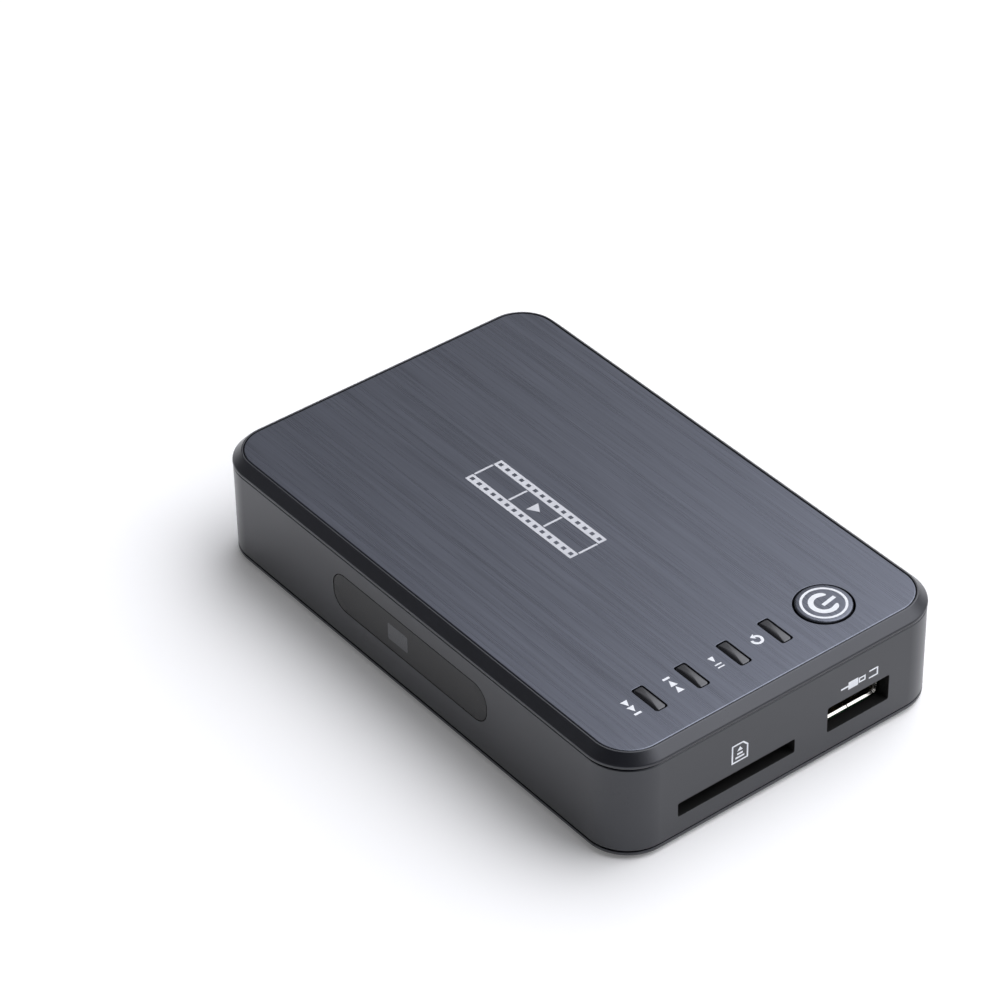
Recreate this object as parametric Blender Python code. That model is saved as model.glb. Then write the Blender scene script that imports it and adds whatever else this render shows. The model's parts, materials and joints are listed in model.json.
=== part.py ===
"""Media player box: a plastic case with a metal top plate, keys, sockets and its inner boards.

Lengths are in metres. +X points out of the end with the card slot, -Y out of the window side, +Z up.
The origin is under the middle of the box, on the surface that its feet stand on.
"""
import math

import bmesh
import bpy
from mathutils import Vector

# Case
CASE_LENGTH = 0.1158
CASE_WIDTH = 0.0731
CASE_CORNER = 0.0086
WALL = 0.0020
BODY_HEIGHT = 0.0178
BOTTOM_EDGE = 0.0009
BOTTOM_EDGE_ROUND = 0.0005
FLOOR_THICKNESS = 0.0018
LOWER_SEAM = 0.0003
UPPER_SEAM = 0.0004
SHOULDER_HEIGHT = 0.0025
SHOULDER_OVERHANG = 0.0005
SHOULDER_EDGE_ROUND = 0.0006
RIM_WIDTH = 0.0003
TONGUE_THICKNESS = 0.0012
TONGUE_DEPTH = 0.0024
PANEL_THICKNESS = 0.0012
PLATE_INSET = 0.0017
PLATE_THICKNESS = 0.0008
PLATE_GAP = 0.00015
PLATE_BEVEL = 0.00015

# Clearances
FIT = 0.0003
OVERRUN = 0.0010

# Feet and case screws
FOOT_PROUD = 0.0008
FOOT_SEAT_DEPTH = 0.0009
FOOT_RADIUS = 0.0040
FOOT_BEVEL = 0.0003
FOOT_FROM_END = 0.0139
FOOT_FROM_SIDE = 0.0105
SCREW_HEAD_RADIUS = 0.0019
SCREW_HEAD_HEIGHT = 0.0009
SCREW_HEAD_SUNK = 0.0002
SCREW_SHANK_RADIUS = 0.0010
SCREW_LENGTH = 0.0075
SCREW_CROSS_LENGTH = 0.0022
SCREW_CROSS_WIDTH = 0.0005
SCREW_CROSS_DEPTH = 0.0005
POST_RADIUS = 0.0028
POST_FROM_WALL = 0.0010
POST_BLIND_DEPTH = 0.0010
VENT_COUNT = 7
VENT_LENGTH = 0.0180
VENT_WIDTH = 0.0014
VENT_PITCH = 0.0042

# Receiver window, on the front wall
WINDOW_WIDTH = 0.0440
WINDOW_HEIGHT = 0.0080
WINDOW_CORNER = 0.0034
WINDOW_THICKNESS = 0.0010
WINDOW_CENTRE_HEIGHT = 0.0114
WINDOW_GAP = 0.00015
WINDOW_LEDGE = 0.0016

# Keys and power button, on the top plate
KEY_FROM_END = 0.0113
KEY_PITCH = 0.00935
PLAY_KEY_ASIDE = -0.0024
POWER_ASIDE = 0.0182
KEY_OPENING_LENGTH = 0.0070
KEY_OPENING_WIDTH = 0.0025
KEY_OPENING_CORNER = 0.0005
KEY_GAP = 0.0003
KEY_PROUD = 0.0002
KEY_BEVEL = 0.0002
KEY_FLANGE = 0.0006
KEY_FLANGE_THICKNESS = 0.0009
KEY_TRAVEL = 0.0004
POWER_OPENING_RADIUS = 0.0055
POWER_GAP = 0.0004
POWER_PROUD = 0.0003
POWER_BEVEL = 0.0002
POWER_FLANGE = 0.0004

# Switches and key board, under the top cover
SWITCH_SIDE = 0.0042
SWITCH_HEIGHT = 0.0016
SWITCH_FLOOR = 0.0003
PLUNGER_RADIUS = 0.0011
PLUNGER_PROUD = 0.0006
KEY_BOARD_THICKNESS = 0.0012
KEY_BOARD_WIDTH = 0.0094
KEY_BOARD_MARGIN = 0.0022
KEY_POST_RADIUS = 0.0013
KEY_SCREW_RADIUS = 0.0006
KEY_SCREW_HEAD_RADIUS = 0.0014
KEY_SCREW_HEAD_HEIGHT = 0.0008
KEY_SCREW_LENGTH = 0.0035

# Ribbon cable between the boards
RIBBON_WIDTH = 0.0040
RIBBON_THICKNESS = 0.0003
RIBBON_STRAIGHT = 0.0010
RIBBON_SOCKET_LENGTH = 0.0040
RIBBON_SOCKET_WIDTH = 0.0050
RIBBON_SOCKET_HEIGHT = 0.0015

# Circuit board
BOARD_LIFT = 0.0008
BOARD_THICKNESS = 0.0016
BOARD_MARGIN = 0.0005

# USB socket, on the slot end
USB_ASIDE = 0.0164
USB_CENTRE_HEIGHT = 0.0080
USB_OPENING_WIDTH = 0.0141
USB_OPENING_HEIGHT = 0.0053
USB_LIFT = 0.0013
USB_INNER_WIDTH = 0.0125
USB_INNER_HEIGHT = 0.0051
USB_SHEET = 0.0003
USB_DEPTH = 0.0140
USB_BLOCK_DEPTH = 0.0045
USB_TONGUE_SIDE_GAP = 0.0007
USB_TONGUE_THICKNESS = 0.0018
USB_TONGUE_BELOW_ROOF = 0.0008
USB_TONGUE_SET_BACK = 0.0010
USB_LEG_LENGTH = 0.0020
USB_LEG_FROM_BACK = 0.0030
USB_CONTACT_WIDTH = 0.0010
USB_CONTACT_THICKNESS = 0.0002
USB_CONTACT_LENGTH = 0.0065
USB_CONTACT_INNER = 0.0010
USB_CONTACT_OUTER = 0.0035

# Card socket, on the slot end
CARD_ASIDE = -0.0113
CARD_CENTRE_HEIGHT = 0.0065
CARD_OPENING_WIDTH = 0.0260
CARD_OPENING_HEIGHT = 0.0028
CARD_WIDTH = 0.0246
CARD_RAIL = 0.0013
CARD_FLOOR = 0.0005
CARD_DEPTH = 0.0280
CARD_BACK = 0.0020
CARD_SHEET = 0.00025
CARD_SHEET_SKIRT = 0.0020

# Sockets on the back wall
HDMI_ALONG = -0.0140
HDMI_OUTER_WIDTH = 0.0150
HDMI_OUTER_HEIGHT = 0.0056
HDMI_CHAMFER = 0.0014
HDMI_SHEET = 0.0004
HDMI_DEPTH = 0.0110
HDMI_BLOCK_DEPTH = 0.0035
HDMI_TONGUE_WIDTH = 0.0110
HDMI_TONGUE_THICKNESS = 0.0010
HDMI_TONGUE_SET_BACK = 0.0010
HDMI_OPENING_MARGIN = 0.0003
AV_ALONG = 0.0090
AV_BODY_WIDTH = 0.0065
AV_BODY_HEIGHT = 0.0060
AV_BODY_DEPTH = 0.0120
AV_NOSE_RADIUS = 0.0027
AV_NOSE_SUNK = 0.0002
AV_BORE_RADIUS = 0.0018
AV_BORE_DEPTH = 0.0100
DC_FROM_END = 0.0279
DC_BODY_WIDTH = 0.0090
DC_BODY_HEIGHT = 0.0105
DC_BODY_DEPTH = 0.0130
DC_BORE_RADIUS = 0.0030
DC_BORE_DEPTH = 0.0090
DC_OPENING_RADIUS = 0.0035
DC_PIN_RADIUS = 0.0010
DC_PIN_SET_BACK = 0.0012

# Board parts
CHIP_SIDE = 0.0150
CHIP_HEIGHT = 0.0012
CHIP_ALONG = 0.0040
CHIP_ASIDE = -0.0040
PAD_SIDE = 0.0140
PAD_THICKNESS = 0.0005
SINK_SIDE = 0.0200
SINK_BASE = 0.0015
SINK_HEIGHT = 0.0060
SINK_FINS = 7
SINK_FIN_SHARE = 0.45
MEMORY_LENGTH = 0.0100
MEMORY_WIDTH = 0.0125
MEMORY_HEIGHT = 0.0011
MEMORY_ALONG = -0.0160
MEMORY_ASIDE = -0.0050
FLASH_LENGTH = 0.0184
FLASH_WIDTH = 0.0120
FLASH_HEIGHT = 0.0011
FLASH_ALONG = -0.0350
FLASH_ASIDE = -0.0100
CRYSTAL_LENGTH = 0.0110
CRYSTAL_WIDTH = 0.0046
CRYSTAL_HEIGHT = 0.0035
CRYSTAL_ALONG = 0.0040
CRYSTAL_ASIDE = -0.0220
INDUCTOR_SIDE = 0.0070
INDUCTOR_CORNER = 0.0014
INDUCTOR_HEIGHT = 0.0040
INDUCTOR_FROM_END = 0.0179
INDUCTOR_ASIDE = 0.0080
CAPACITOR_RADIUS = 0.0031
CAPACITOR_HEIGHT = 0.0075
CAPACITOR_BEVEL = 0.0004
CAPACITOR_FROM_END = 0.0279
CAPACITOR_ASIDE = 0.0180
CAPACITOR_PITCH = 0.0100

# Infrared receiver and status LED, behind the window
RECEIVER_ALONG = -0.0032
RECEIVER_WIDTH = 0.0060
RECEIVER_DEPTH = 0.0040
RECEIVER_HEIGHT = 0.0070
RECEIVER_STEM_WIDTH = 0.0045
RECEIVER_STEM_DEPTH = 0.0012
RECEIVER_DOME_RADIUS = 0.0022
RECEIVER_DOME_DEPTH = 0.0010
LED_ALONG = 0.0080
LED_RADIUS = 0.0015
LED_LENGTH = 0.0050
LED_STEM_WIDTH = 0.0016

# Smoothness of round shapes, as numbers of steps
CORNER_STEPS = 9
SMALL_CORNER_STEPS = 4
CIRCLE_STEPS = 24
BUTTON_STEPS = 40
RIBBON_STEPS = 10
EDGE_ROUND_STEPS = 4

# Heights of the case's levels
CASE_BASE = FOOT_PROUD
EDGE_TOP = CASE_BASE + BOTTOM_EDGE
FLOOR_TOP = CASE_BASE + FLOOR_THICKNESS
WALL_BOTTOM = EDGE_TOP + LOWER_SEAM
WALL_TOP = WALL_BOTTOM + BODY_HEIGHT
SHOULDER_BOTTOM = WALL_TOP + UPPER_SEAM
PLATE_TOP = SHOULDER_BOTTOM + SHOULDER_HEIGHT
PLATE_BOTTOM = PLATE_TOP - PLATE_THICKNESS
RECESS_FLOOR = PLATE_BOTTOM - FIT
PANEL_BOTTOM = RECESS_FLOOR - PANEL_THICKNESS
BOARD_BOTTOM = FLOOR_TOP + BOARD_LIFT
BOARD_TOP = BOARD_BOTTOM + BOARD_THICKNESS
ON_BOARD = BOARD_TOP + FIT

# Half sizes and shared places
HALF_LENGTH = CASE_LENGTH / 2
HALF_WIDTH = CASE_WIDTH / 2
INNER_END = HALF_LENGTH - WALL
INNER_SIDE = HALF_WIDTH - WALL
SOCKET_END = INNER_END - FIT
SOCKET_SIDE = INNER_SIDE - FIT
KEY_ALONG = HALF_LENGTH - KEY_FROM_END
DC_ALONG = HALF_LENGTH - DC_FROM_END
INDUCTOR_ALONG = INDUCTOR_FROM_END - HALF_LENGTH
CAPACITOR_ALONG = CAPACITOR_FROM_END - HALF_LENGTH

# The ribbon runs midway between the card socket's sheet and the USB shell
CARD_EDGE = CARD_ASIDE + CARD_WIDTH / 2 + CARD_RAIL + FIT + CARD_SHEET
USB_EDGE = USB_ASIDE - USB_INNER_WIDTH / 2 - USB_SHEET
RIBBON_ASIDE = (CARD_EDGE + USB_EDGE) / 2
USB_TONGUE_WIDTH = USB_INNER_WIDTH - 2 * USB_TONGUE_SIDE_GAP

KEY_NAMES = ("forward", "back", "play", "return")
PLAY_PLACE = KEY_NAMES.index("play")

# Levels under a key
FLANGE_TOP = PANEL_BOTTOM - FIT
FLANGE_BOTTOM = FLANGE_TOP - KEY_FLANGE_THICKNESS
PLUNGER_TOP = FLANGE_BOTTOM - FIT
SWITCH_TOP = PLUNGER_TOP - PLUNGER_PROUD
SWITCH_BOTTOM = SWITCH_TOP - SWITCH_HEIGHT
WELL_FLOOR = SWITCH_BOTTOM + SWITCH_FLOOR
PLUNGER_BOTTOM = WELL_FLOOR + FIT + KEY_TRAVEL
KEY_BOARD_TOP = SWITCH_BOTTOM - FIT
KEY_BOARD_BOTTOM = KEY_BOARD_TOP - KEY_BOARD_THICKNESS

# Colour, roughness and metallic value of each finish
FINISHES = {
    "case plastic": ((0.055, 0.056, 0.060), 0.42, 0.0),
    "brushed plate": ((0.110, 0.118, 0.130), 0.34, 0.9),
    "gloss black": ((0.012, 0.012, 0.014), 0.12, 0.0),
    "window": ((0.016, 0.016, 0.019), 0.15, 0.0),
    "black insulator": ((0.015, 0.015, 0.016), 0.50, 0.0),
    "rubber": ((0.030, 0.030, 0.030), 0.85, 0.0),
    "nickel": ((0.640, 0.630, 0.600), 0.22, 1.0),
    "gold": ((0.780, 0.560, 0.220), 0.25, 1.0),
    "steel": ((0.430, 0.430, 0.440), 0.35, 1.0),
    "board green": ((0.020, 0.110, 0.050), 0.45, 0.0),
    "chip epoxy": ((0.020, 0.020, 0.022), 0.60, 0.0),
    "thermal pad": ((0.450, 0.480, 0.520), 0.80, 0.0),
    "aluminium": ((0.600, 0.610, 0.620), 0.40, 1.0),
    "ferrite": ((0.070, 0.070, 0.072), 0.70, 0.0),
    "clear epoxy": ((0.700, 0.750, 0.700), 0.15, 0.0),
    "ivory plastic": ((0.780, 0.750, 0.660), 0.50, 0.0),
    "ribbon": ((0.800, 0.800, 0.780), 0.50, 0.0),
}


def clear_scene():
    """Remove every object that the file opened with."""
    for obj in list(bpy.data.objects):
        bpy.data.objects.remove(obj, do_unlink=True)


def finish(name, kind):
    """A Principled material of the named finish, for one piece."""
    colour, roughness, metallic = FINISHES[kind]
    material = bpy.data.materials.new(name)
    material.use_nodes = True
    shader = material.node_tree.nodes["Principled BSDF"]
    shader.inputs["Base Color"].default_value = (*colour, 1.0)
    shader.inputs["Roughness"].default_value = roughness
    shader.inputs["Metallic"].default_value = metallic
    return material


def rounded_outline(half_x, half_y, radius, steps=CORNER_STEPS):
    """Points of a rectangle with round corners, anticlockwise."""
    points = []
    for quarter, (side_x, side_y) in enumerate(((1, 1), (-1, 1), (-1, -1), (1, -1))):
        for step in range(steps + 1):
            angle = math.pi / 2 * (quarter + step / steps)
            x = side_x * (half_x - radius) + radius * math.cos(angle)
            y = side_y * (half_y - radius) + radius * math.sin(angle)
            points.append((x, y))
    return points


def case_outline(offset):
    """The case's outline moved outwards by an offset."""
    return rounded_outline(HALF_LENGTH + offset, HALF_WIDTH + offset, CASE_CORNER + offset)


def circle_outline(radius, steps=CIRCLE_STEPS):
    """Points of a circle, anticlockwise."""
    turns = [2 * math.pi * step / steps for step in range(steps)]
    return [(radius * math.cos(turn), radius * math.sin(turn)) for turn in turns]


def box_outline(half_x, half_y):
    """Corners of a rectangle about the origin, anticlockwise."""
    return [(half_x, half_y), (-half_x, half_y), (-half_x, -half_y), (half_x, -half_y)]


def on_axis(axis, flat, along):
    """A point from its two flat coordinates and its place along an axis."""
    u, v = flat
    return {"x": (along, u, v), "y": (u, along, v), "z": (u, v, along)}[axis]


def loft(rings, axis="z", closed=False):
    """Mesh through a list of (outline, level) rings, capped at both ends or closed into a loop."""
    shape = bmesh.new()
    loops = []
    for outline, level in rings:
        loops.append([shape.verts.new(on_axis(axis, point, level)) for point in outline])
    pairs = list(zip(loops, loops[1:]))
    if closed:
        pairs.append((loops[-1], loops[0]))
    else:
        shape.faces.new(loops[0])
        shape.faces.new(loops[-1])
    for low, high in pairs:
        for here in range(len(low)):
            after = (here + 1) % len(low)
            shape.faces.new((low[here], low[after], high[after], high[here]))
    bmesh.ops.recalc_face_normals(shape, faces=shape.faces)
    return shape


def prism(outline, start, end, axis="z"):
    """Mesh of an outline carried straight along an axis."""
    return loft([(outline, start), (outline, end)], axis)


def merge(shapes, places=None):
    """One mesh that holds several shapes, each moved to its place."""
    whole = bmesh.new()
    for place, shape in zip(places or [(0, 0, 0)] * len(shapes), shapes):
        bmesh.ops.translate(shape, verts=shape.verts, vec=Vector(place))
        part = bpy.data.meshes.new("part")
        shape.to_mesh(part)
        shape.free()
        whole.from_mesh(part)
        bpy.data.meshes.remove(part)
    return whole


def place(name, shape, kind, location=(0, 0, 0), smooth=False, parent=None):
    """Put a mesh into the scene as a named piece with its own material."""
    mesh = bpy.data.meshes.new(name)
    shape.to_mesh(mesh)
    shape.free()
    mesh.materials.append(finish(name, kind))
    obj = bpy.data.objects.new(name, mesh)
    obj.location = location
    obj.parent = parent
    bpy.context.collection.objects.link(obj)
    if smooth:
        mesh.shade_smooth()
        mesh.set_sharp_from_angle(angle=math.radians(35))
    return obj


def guide(name, shape):
    """A cutter or an addition for a Boolean, left out of the model itself."""
    mesh = bpy.data.meshes.new(name)
    shape.to_mesh(mesh)
    shape.free()
    obj = bpy.data.objects.new(name, mesh)
    obj.hide_render = True
    obj.display_type = "WIRE"
    bpy.context.collection.objects.link(obj)
    return obj


def combine(target, other, operation):
    """Add a live Boolean to a piece."""
    modifier = target.modifiers.new(other.name, "BOOLEAN")
    modifier.operation = operation
    modifier.solver = "EXACT"
    modifier.object = other


def cut(target, name, shapes, places=None):
    """Cut shapes out of a piece."""
    combine(target, guide(name, merge(shapes, places)), "DIFFERENCE")


def add(target, name, shapes, places=None):
    """Join shapes on to a piece."""
    combine(target, guide(name, merge(shapes, places)), "UNION")


def corner_places(x, y):
    """The four places at plus and minus x and y, anticlockwise."""
    return [(x, y), (-x, y), (-x, -y), (x, -y)]


def screw_places():
    """Centres of the four case screws, inside the case's corners."""
    reach = CASE_CORNER - WALL - POST_FROM_WALL - POST_RADIUS
    diagonal = reach / math.sqrt(2)
    return corner_places(HALF_LENGTH - CASE_CORNER + diagonal, HALF_WIDTH - CASE_CORNER + diagonal)


def foot_places():
    """Centres of the four feet."""
    return corner_places(HALF_LENGTH - FOOT_FROM_END, HALF_WIDTH - FOOT_FROM_SIDE)


def key_asides():
    """Each key's place across the case."""
    places_in_row = range(len(KEY_NAMES))
    return [PLAY_KEY_ASIDE + (here - PLAY_PLACE) * KEY_PITCH for here in places_in_row]


def key_post_asides():
    """Places of the two key board posts: between the first keys, and between the last key and the button."""
    asides = key_asides()
    first = (asides[0] + asides[1]) / 2
    key_edge = asides[-1] + max(KEY_OPENING_WIDTH / 2 + KEY_FLANGE, SWITCH_SIDE / 2)
    button_edge = POWER_ASIDE - POWER_OPENING_RADIUS - POWER_FLANGE
    return [first, (key_edge + button_edge) / 2]


def key_opening():
    """Outline of a key's opening, on the key's own centre."""
    return rounded_outline(KEY_OPENING_LENGTH / 2, KEY_OPENING_WIDTH / 2,
                           KEY_OPENING_CORNER, SMALL_CORNER_STEPS)


def cut_key_openings(target, name, low, high):
    """Cut the four key openings and the power button's opening through a panel."""
    shapes = [prism(key_opening(), low, high) for _ in KEY_NAMES]
    places = [(KEY_ALONG, aside, 0) for aside in key_asides()]
    shapes.append(prism(circle_outline(POWER_OPENING_RADIUS, BUTTON_STEPS), low, high))
    places.append((KEY_ALONG, POWER_ASIDE, 0))
    cut(target, name, shapes, places)


def build_bottom_cover():
    """Stepped floor plate with screw posts, foot seats, screw holes and vent slots."""
    inner = -WALL - FIT
    rings = [(case_outline(-BOTTOM_EDGE_ROUND), CASE_BASE)]
    for step in range(1, EDGE_ROUND_STEPS + 1):
        turn = math.pi / 2 * step / EDGE_ROUND_STEPS
        inset = BOTTOM_EDGE_ROUND * (1 - math.sin(turn))
        rings.append((case_outline(-inset), CASE_BASE + BOTTOM_EDGE_ROUND * (1 - math.cos(turn))))
    rings.append((case_outline(0), EDGE_TOP))
    rings.append((case_outline(inner), EDGE_TOP))
    rings.append((case_outline(inner), FLOOR_TOP))
    cover = place("bottom_cover", loft(rings), "case plastic", smooth=True)
    screws = [(x, y, 0) for x, y in screw_places()]
    post_low = FLOOR_TOP - FLOOR_THICKNESS / 2
    post_high = BOARD_BOTTOM - FIT
    post = circle_outline(POST_RADIUS)
    add(cover, "cover_posts", [prism(post, post_low, post_high) for _ in screws], screws)
    head_top = CASE_BASE + SCREW_HEAD_SUNK + SCREW_HEAD_HEIGHT + FIT
    sink = circle_outline(SCREW_HEAD_RADIUS + FIT)
    cut(cover, "head_seats", [prism(sink, CASE_BASE - OVERRUN, head_top) for _ in screws], screws)
    hole = circle_outline(SCREW_SHANK_RADIUS + FIT)
    cut(cover, "screw_holes", [prism(hole, CASE_BASE, post_high + OVERRUN) for _ in screws], screws)
    feet = [(x, y, 0) for x, y in foot_places()]
    seat = circle_outline(FOOT_RADIUS + FIT)
    seat_top = CASE_BASE + FOOT_SEAT_DEPTH
    cut(cover, "foot_seats", [prism(seat, CASE_BASE - OVERRUN, seat_top) for _ in feet], feet)
    slot = rounded_outline(VENT_WIDTH / 2, VENT_LENGTH / 2, VENT_WIDTH / 2, SMALL_CORNER_STEPS)
    slots = [((here - (VENT_COUNT - 1) / 2) * VENT_PITCH, 0, 0) for here in range(VENT_COUNT)]
    cut(cover, "vent_slots", [prism(slot, CASE_BASE - OVERRUN, FLOOR_TOP + OVERRUN) for _ in slots], slots)


def build_body():
    """Wall ring with the window's seat and the openings for every socket."""
    rings = [
        (case_outline(0), WALL_BOTTOM),
        (case_outline(0), WALL_TOP),
        (case_outline(-WALL), WALL_TOP),
        (case_outline(-WALL), WALL_BOTTOM),
    ]
    body = place("case_body", loft(rings, closed=True), "case plastic", smooth=True)
    end_low = INNER_END - OVERRUN
    end_high = HALF_LENGTH + OVERRUN
    card = box_outline(CARD_OPENING_WIDTH / 2, CARD_OPENING_HEIGHT / 2)
    usb = box_outline(USB_OPENING_WIDTH / 2, USB_OPENING_HEIGHT / 2)
    cut(body, "end_openings", [prism(card, end_low, end_high, "x"), prism(usb, end_low, end_high, "x")],
        [(0, CARD_ASIDE, CASE_BASE + CARD_CENTRE_HEIGHT), (0, USB_ASIDE, CASE_BASE + USB_CENTRE_HEIGHT)])
    cut_window_seat(body)
    cut_back_openings(body)


def cut_window_seat(body):
    """A seat in the outer face for the window, and a smaller opening through the wall behind it."""
    height = CASE_BASE + WINDOW_CENTRE_HEIGHT
    seat = rounded_outline(WINDOW_WIDTH / 2 + WINDOW_GAP, WINDOW_HEIGHT / 2 + WINDOW_GAP,
                           WINDOW_CORNER + WINDOW_GAP, SMALL_CORNER_STEPS)
    through = rounded_outline(WINDOW_WIDTH / 2 - WINDOW_LEDGE, WINDOW_HEIGHT / 2 - WINDOW_LEDGE,
                              WINDOW_CORNER - WINDOW_LEDGE, SMALL_CORNER_STEPS)
    seat_back = -HALF_WIDTH + WINDOW_THICKNESS + FIT
    cut(body, "window_seat", [prism(seat, -HALF_WIDTH - OVERRUN, seat_back, "y")], [(0, 0, height)])
    cut(body, "window_opening", [prism(through, -HALF_WIDTH - OVERRUN, -INNER_SIDE + OVERRUN, "y")],
        [(0, 0, height)])


def hdmi_outline(margin):
    """The socket's outline: a rectangle with its two lower corners cut off."""
    half_x = HDMI_OUTER_WIDTH / 2 + margin
    half_z = HDMI_OUTER_HEIGHT / 2 + margin
    return [(half_x, half_z), (-half_x, half_z), (-half_x, -half_z + HDMI_CHAMFER),
            (-half_x + HDMI_CHAMFER, -half_z), (half_x - HDMI_CHAMFER, -half_z),
            (half_x, -half_z + HDMI_CHAMFER)]


def back_heights():
    """Heights of the centres of the three sockets on the back wall."""
    hdmi = ON_BOARD + HDMI_OUTER_HEIGHT / 2
    jack = ON_BOARD + AV_BODY_HEIGHT / 2
    power = ON_BOARD + DC_BODY_HEIGHT / 2
    return hdmi, jack, power


def cut_back_openings(body):
    """The three openings in the back wall."""
    low = INNER_SIDE - OVERRUN
    high = HALF_WIDTH + OVERRUN
    hdmi, jack, power = back_heights()
    shapes = [
        prism(hdmi_outline(HDMI_OPENING_MARGIN), low, high, "y"),
        prism(circle_outline(AV_NOSE_RADIUS + FIT), low, high, "y"),
        prism(circle_outline(DC_OPENING_RADIUS), low, high, "y"),
    ]
    cut(body, "back_openings", shapes, [(HDMI_ALONG, 0, hdmi), (AV_ALONG, 0, jack), (DC_ALONG, 0, power)])


def build_top_cover():
    """Lid with the sloped shoulder, the plate's recess, an inner tongue and its screw posts."""
    tongue_outer = -WALL - FIT
    tongue_inner = tongue_outer - TONGUE_THICKNESS
    tongue_bottom = SHOULDER_BOTTOM - TONGUE_DEPTH
    rings = [
        (case_outline(tongue_inner), PANEL_BOTTOM),
        (case_outline(tongue_inner), tongue_bottom),
        (case_outline(tongue_outer), tongue_bottom),
        (case_outline(tongue_outer), SHOULDER_BOTTOM),
    ]
    for step in range(EDGE_ROUND_STEPS + 1):
        turn = math.pi / 2 * step / EDGE_ROUND_STEPS
        offset = SHOULDER_OVERHANG - SHOULDER_EDGE_ROUND * (1 - math.sin(turn))
        rings.append((case_outline(offset), SHOULDER_BOTTOM + SHOULDER_EDGE_ROUND * (1 - math.cos(turn))))
    rings.append((case_outline(RIM_WIDTH - PLATE_INSET), PLATE_TOP))
    rings.append((case_outline(-PLATE_INSET), PLATE_TOP))
    rings.append((case_outline(-PLATE_INSET), RECESS_FLOOR))
    cover = place("top_cover", loft(rings), "case plastic", smooth=True)
    add_case_posts(cover)
    add_key_posts(cover)
    cut_key_openings(cover, "cover_key_openings", PANEL_BOTTOM - OVERRUN, RECESS_FLOOR + OVERRUN)


def add_case_posts(cover):
    """Four posts from the panel down to the board, each with a blind screw hole."""
    screws = [(x, y, 0) for x, y in screw_places()]
    joined_to = PANEL_BOTTOM + PANEL_THICKNESS / 2
    post = circle_outline(POST_RADIUS)
    add(cover, "case_posts", [prism(post, ON_BOARD, joined_to) for _ in screws], screws)
    hole_top = screw_tip() + POST_BLIND_DEPTH
    hole = circle_outline(SCREW_SHANK_RADIUS + FIT)
    cut(cover, "post_holes", [prism(hole, ON_BOARD - OVERRUN, hole_top) for _ in screws], screws)


def add_key_posts(cover):
    """Two posts that the key board hangs on, each with a screw hole."""
    places = [(KEY_ALONG, aside, 0) for aside in key_post_asides()]
    low = KEY_BOARD_TOP + FIT
    joined_to = PANEL_BOTTOM + PANEL_THICKNESS / 2
    post = circle_outline(KEY_POST_RADIUS)
    add(cover, "key_posts", [prism(post, low, joined_to) for _ in places], places)
    hole = circle_outline(KEY_SCREW_RADIUS + FIT)
    hole_top = key_screw_tip() + FIT
    cut(cover, "key_post_holes", [prism(hole, low - OVERRUN, hole_top) for _ in places], places)


def build_top_plate():
    """Thin plate in the cover's recess, with a fine bevel along its upper edge."""
    inset = -PLATE_INSET - PLATE_GAP
    rings = [
        (case_outline(inset), PLATE_BOTTOM),
        (case_outline(inset), PLATE_TOP - PLATE_BEVEL),
        (case_outline(inset - PLATE_BEVEL), PLATE_TOP),
    ]
    plate = place("top_plate", loft(rings), "brushed plate", smooth=True)
    cut_key_openings(plate, "plate_key_openings", PLATE_BOTTOM - OVERRUN, PLATE_TOP + OVERRUN)


def build_window():
    """Dark receiver window, flush with the front wall."""
    outline = rounded_outline(WINDOW_WIDTH / 2, WINDOW_HEIGHT / 2, WINDOW_CORNER, SMALL_CORNER_STEPS)
    centre = (0, -HALF_WIDTH, CASE_BASE + WINDOW_CENTRE_HEIGHT)
    place("receiver_window", prism(outline, 0, WINDOW_THICKNESS, "y"), "window", centre, smooth=True)


def build_feet():
    """Four round rubber feet, each seated in the bottom cover."""
    height = CASE_BASE + FOOT_SEAT_DEPTH - FIT
    for number, (x, y) in enumerate(foot_places(), start=1):
        rings = [
            (circle_outline(FOOT_RADIUS - FOOT_BEVEL), 0),
            (circle_outline(FOOT_RADIUS), FOOT_BEVEL),
            (circle_outline(FOOT_RADIUS), height),
        ]
        place(f"foot_{number}", loft(rings), "rubber", (x, y, 0), smooth=True)


def screw_tip():
    """Height of a case screw's tip."""
    return CASE_BASE + SCREW_HEAD_SUNK + SCREW_HEAD_HEIGHT + SCREW_LENGTH


def key_screw_tip():
    """Height of a key board screw's tip."""
    return KEY_BOARD_BOTTOM - FIT + KEY_SCREW_LENGTH


def screw_shape(head_radius, head_height, shank_radius, length):
    """A head with a shank standing on it, the head's outer face at zero."""
    rings = [
        (circle_outline(head_radius, CIRCLE_STEPS), 0),
        (circle_outline(head_radius, CIRCLE_STEPS), head_height),
        (circle_outline(shank_radius, CIRCLE_STEPS), head_height),
        (circle_outline(shank_radius, CIRCLE_STEPS), head_height + length),
    ]
    return loft(rings)


def build_case_screws():
    """Four screws up through the bottom cover and the board, with a cross in each head."""
    bottom = CASE_BASE + SCREW_HEAD_SUNK
    for number, (x, y) in enumerate(screw_places(), start=1):
        shape = screw_shape(SCREW_HEAD_RADIUS, SCREW_HEAD_HEIGHT, SCREW_SHANK_RADIUS, SCREW_LENGTH)
        screw = place(f"case_screw_{number}", shape, "steel", (x, y, bottom), smooth=True)
        long_bar = box_outline(SCREW_CROSS_LENGTH / 2, SCREW_CROSS_WIDTH / 2)
        short_bar = box_outline(SCREW_CROSS_WIDTH / 2, SCREW_CROSS_LENGTH / 2)
        for direction, bar in (("along", long_bar), ("across", short_bar)):
            slot = prism(bar, -OVERRUN, SCREW_CROSS_DEPTH)
            cut(screw, f"cross_{direction}_{number}", [slot], [(x, y, bottom)])


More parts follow.
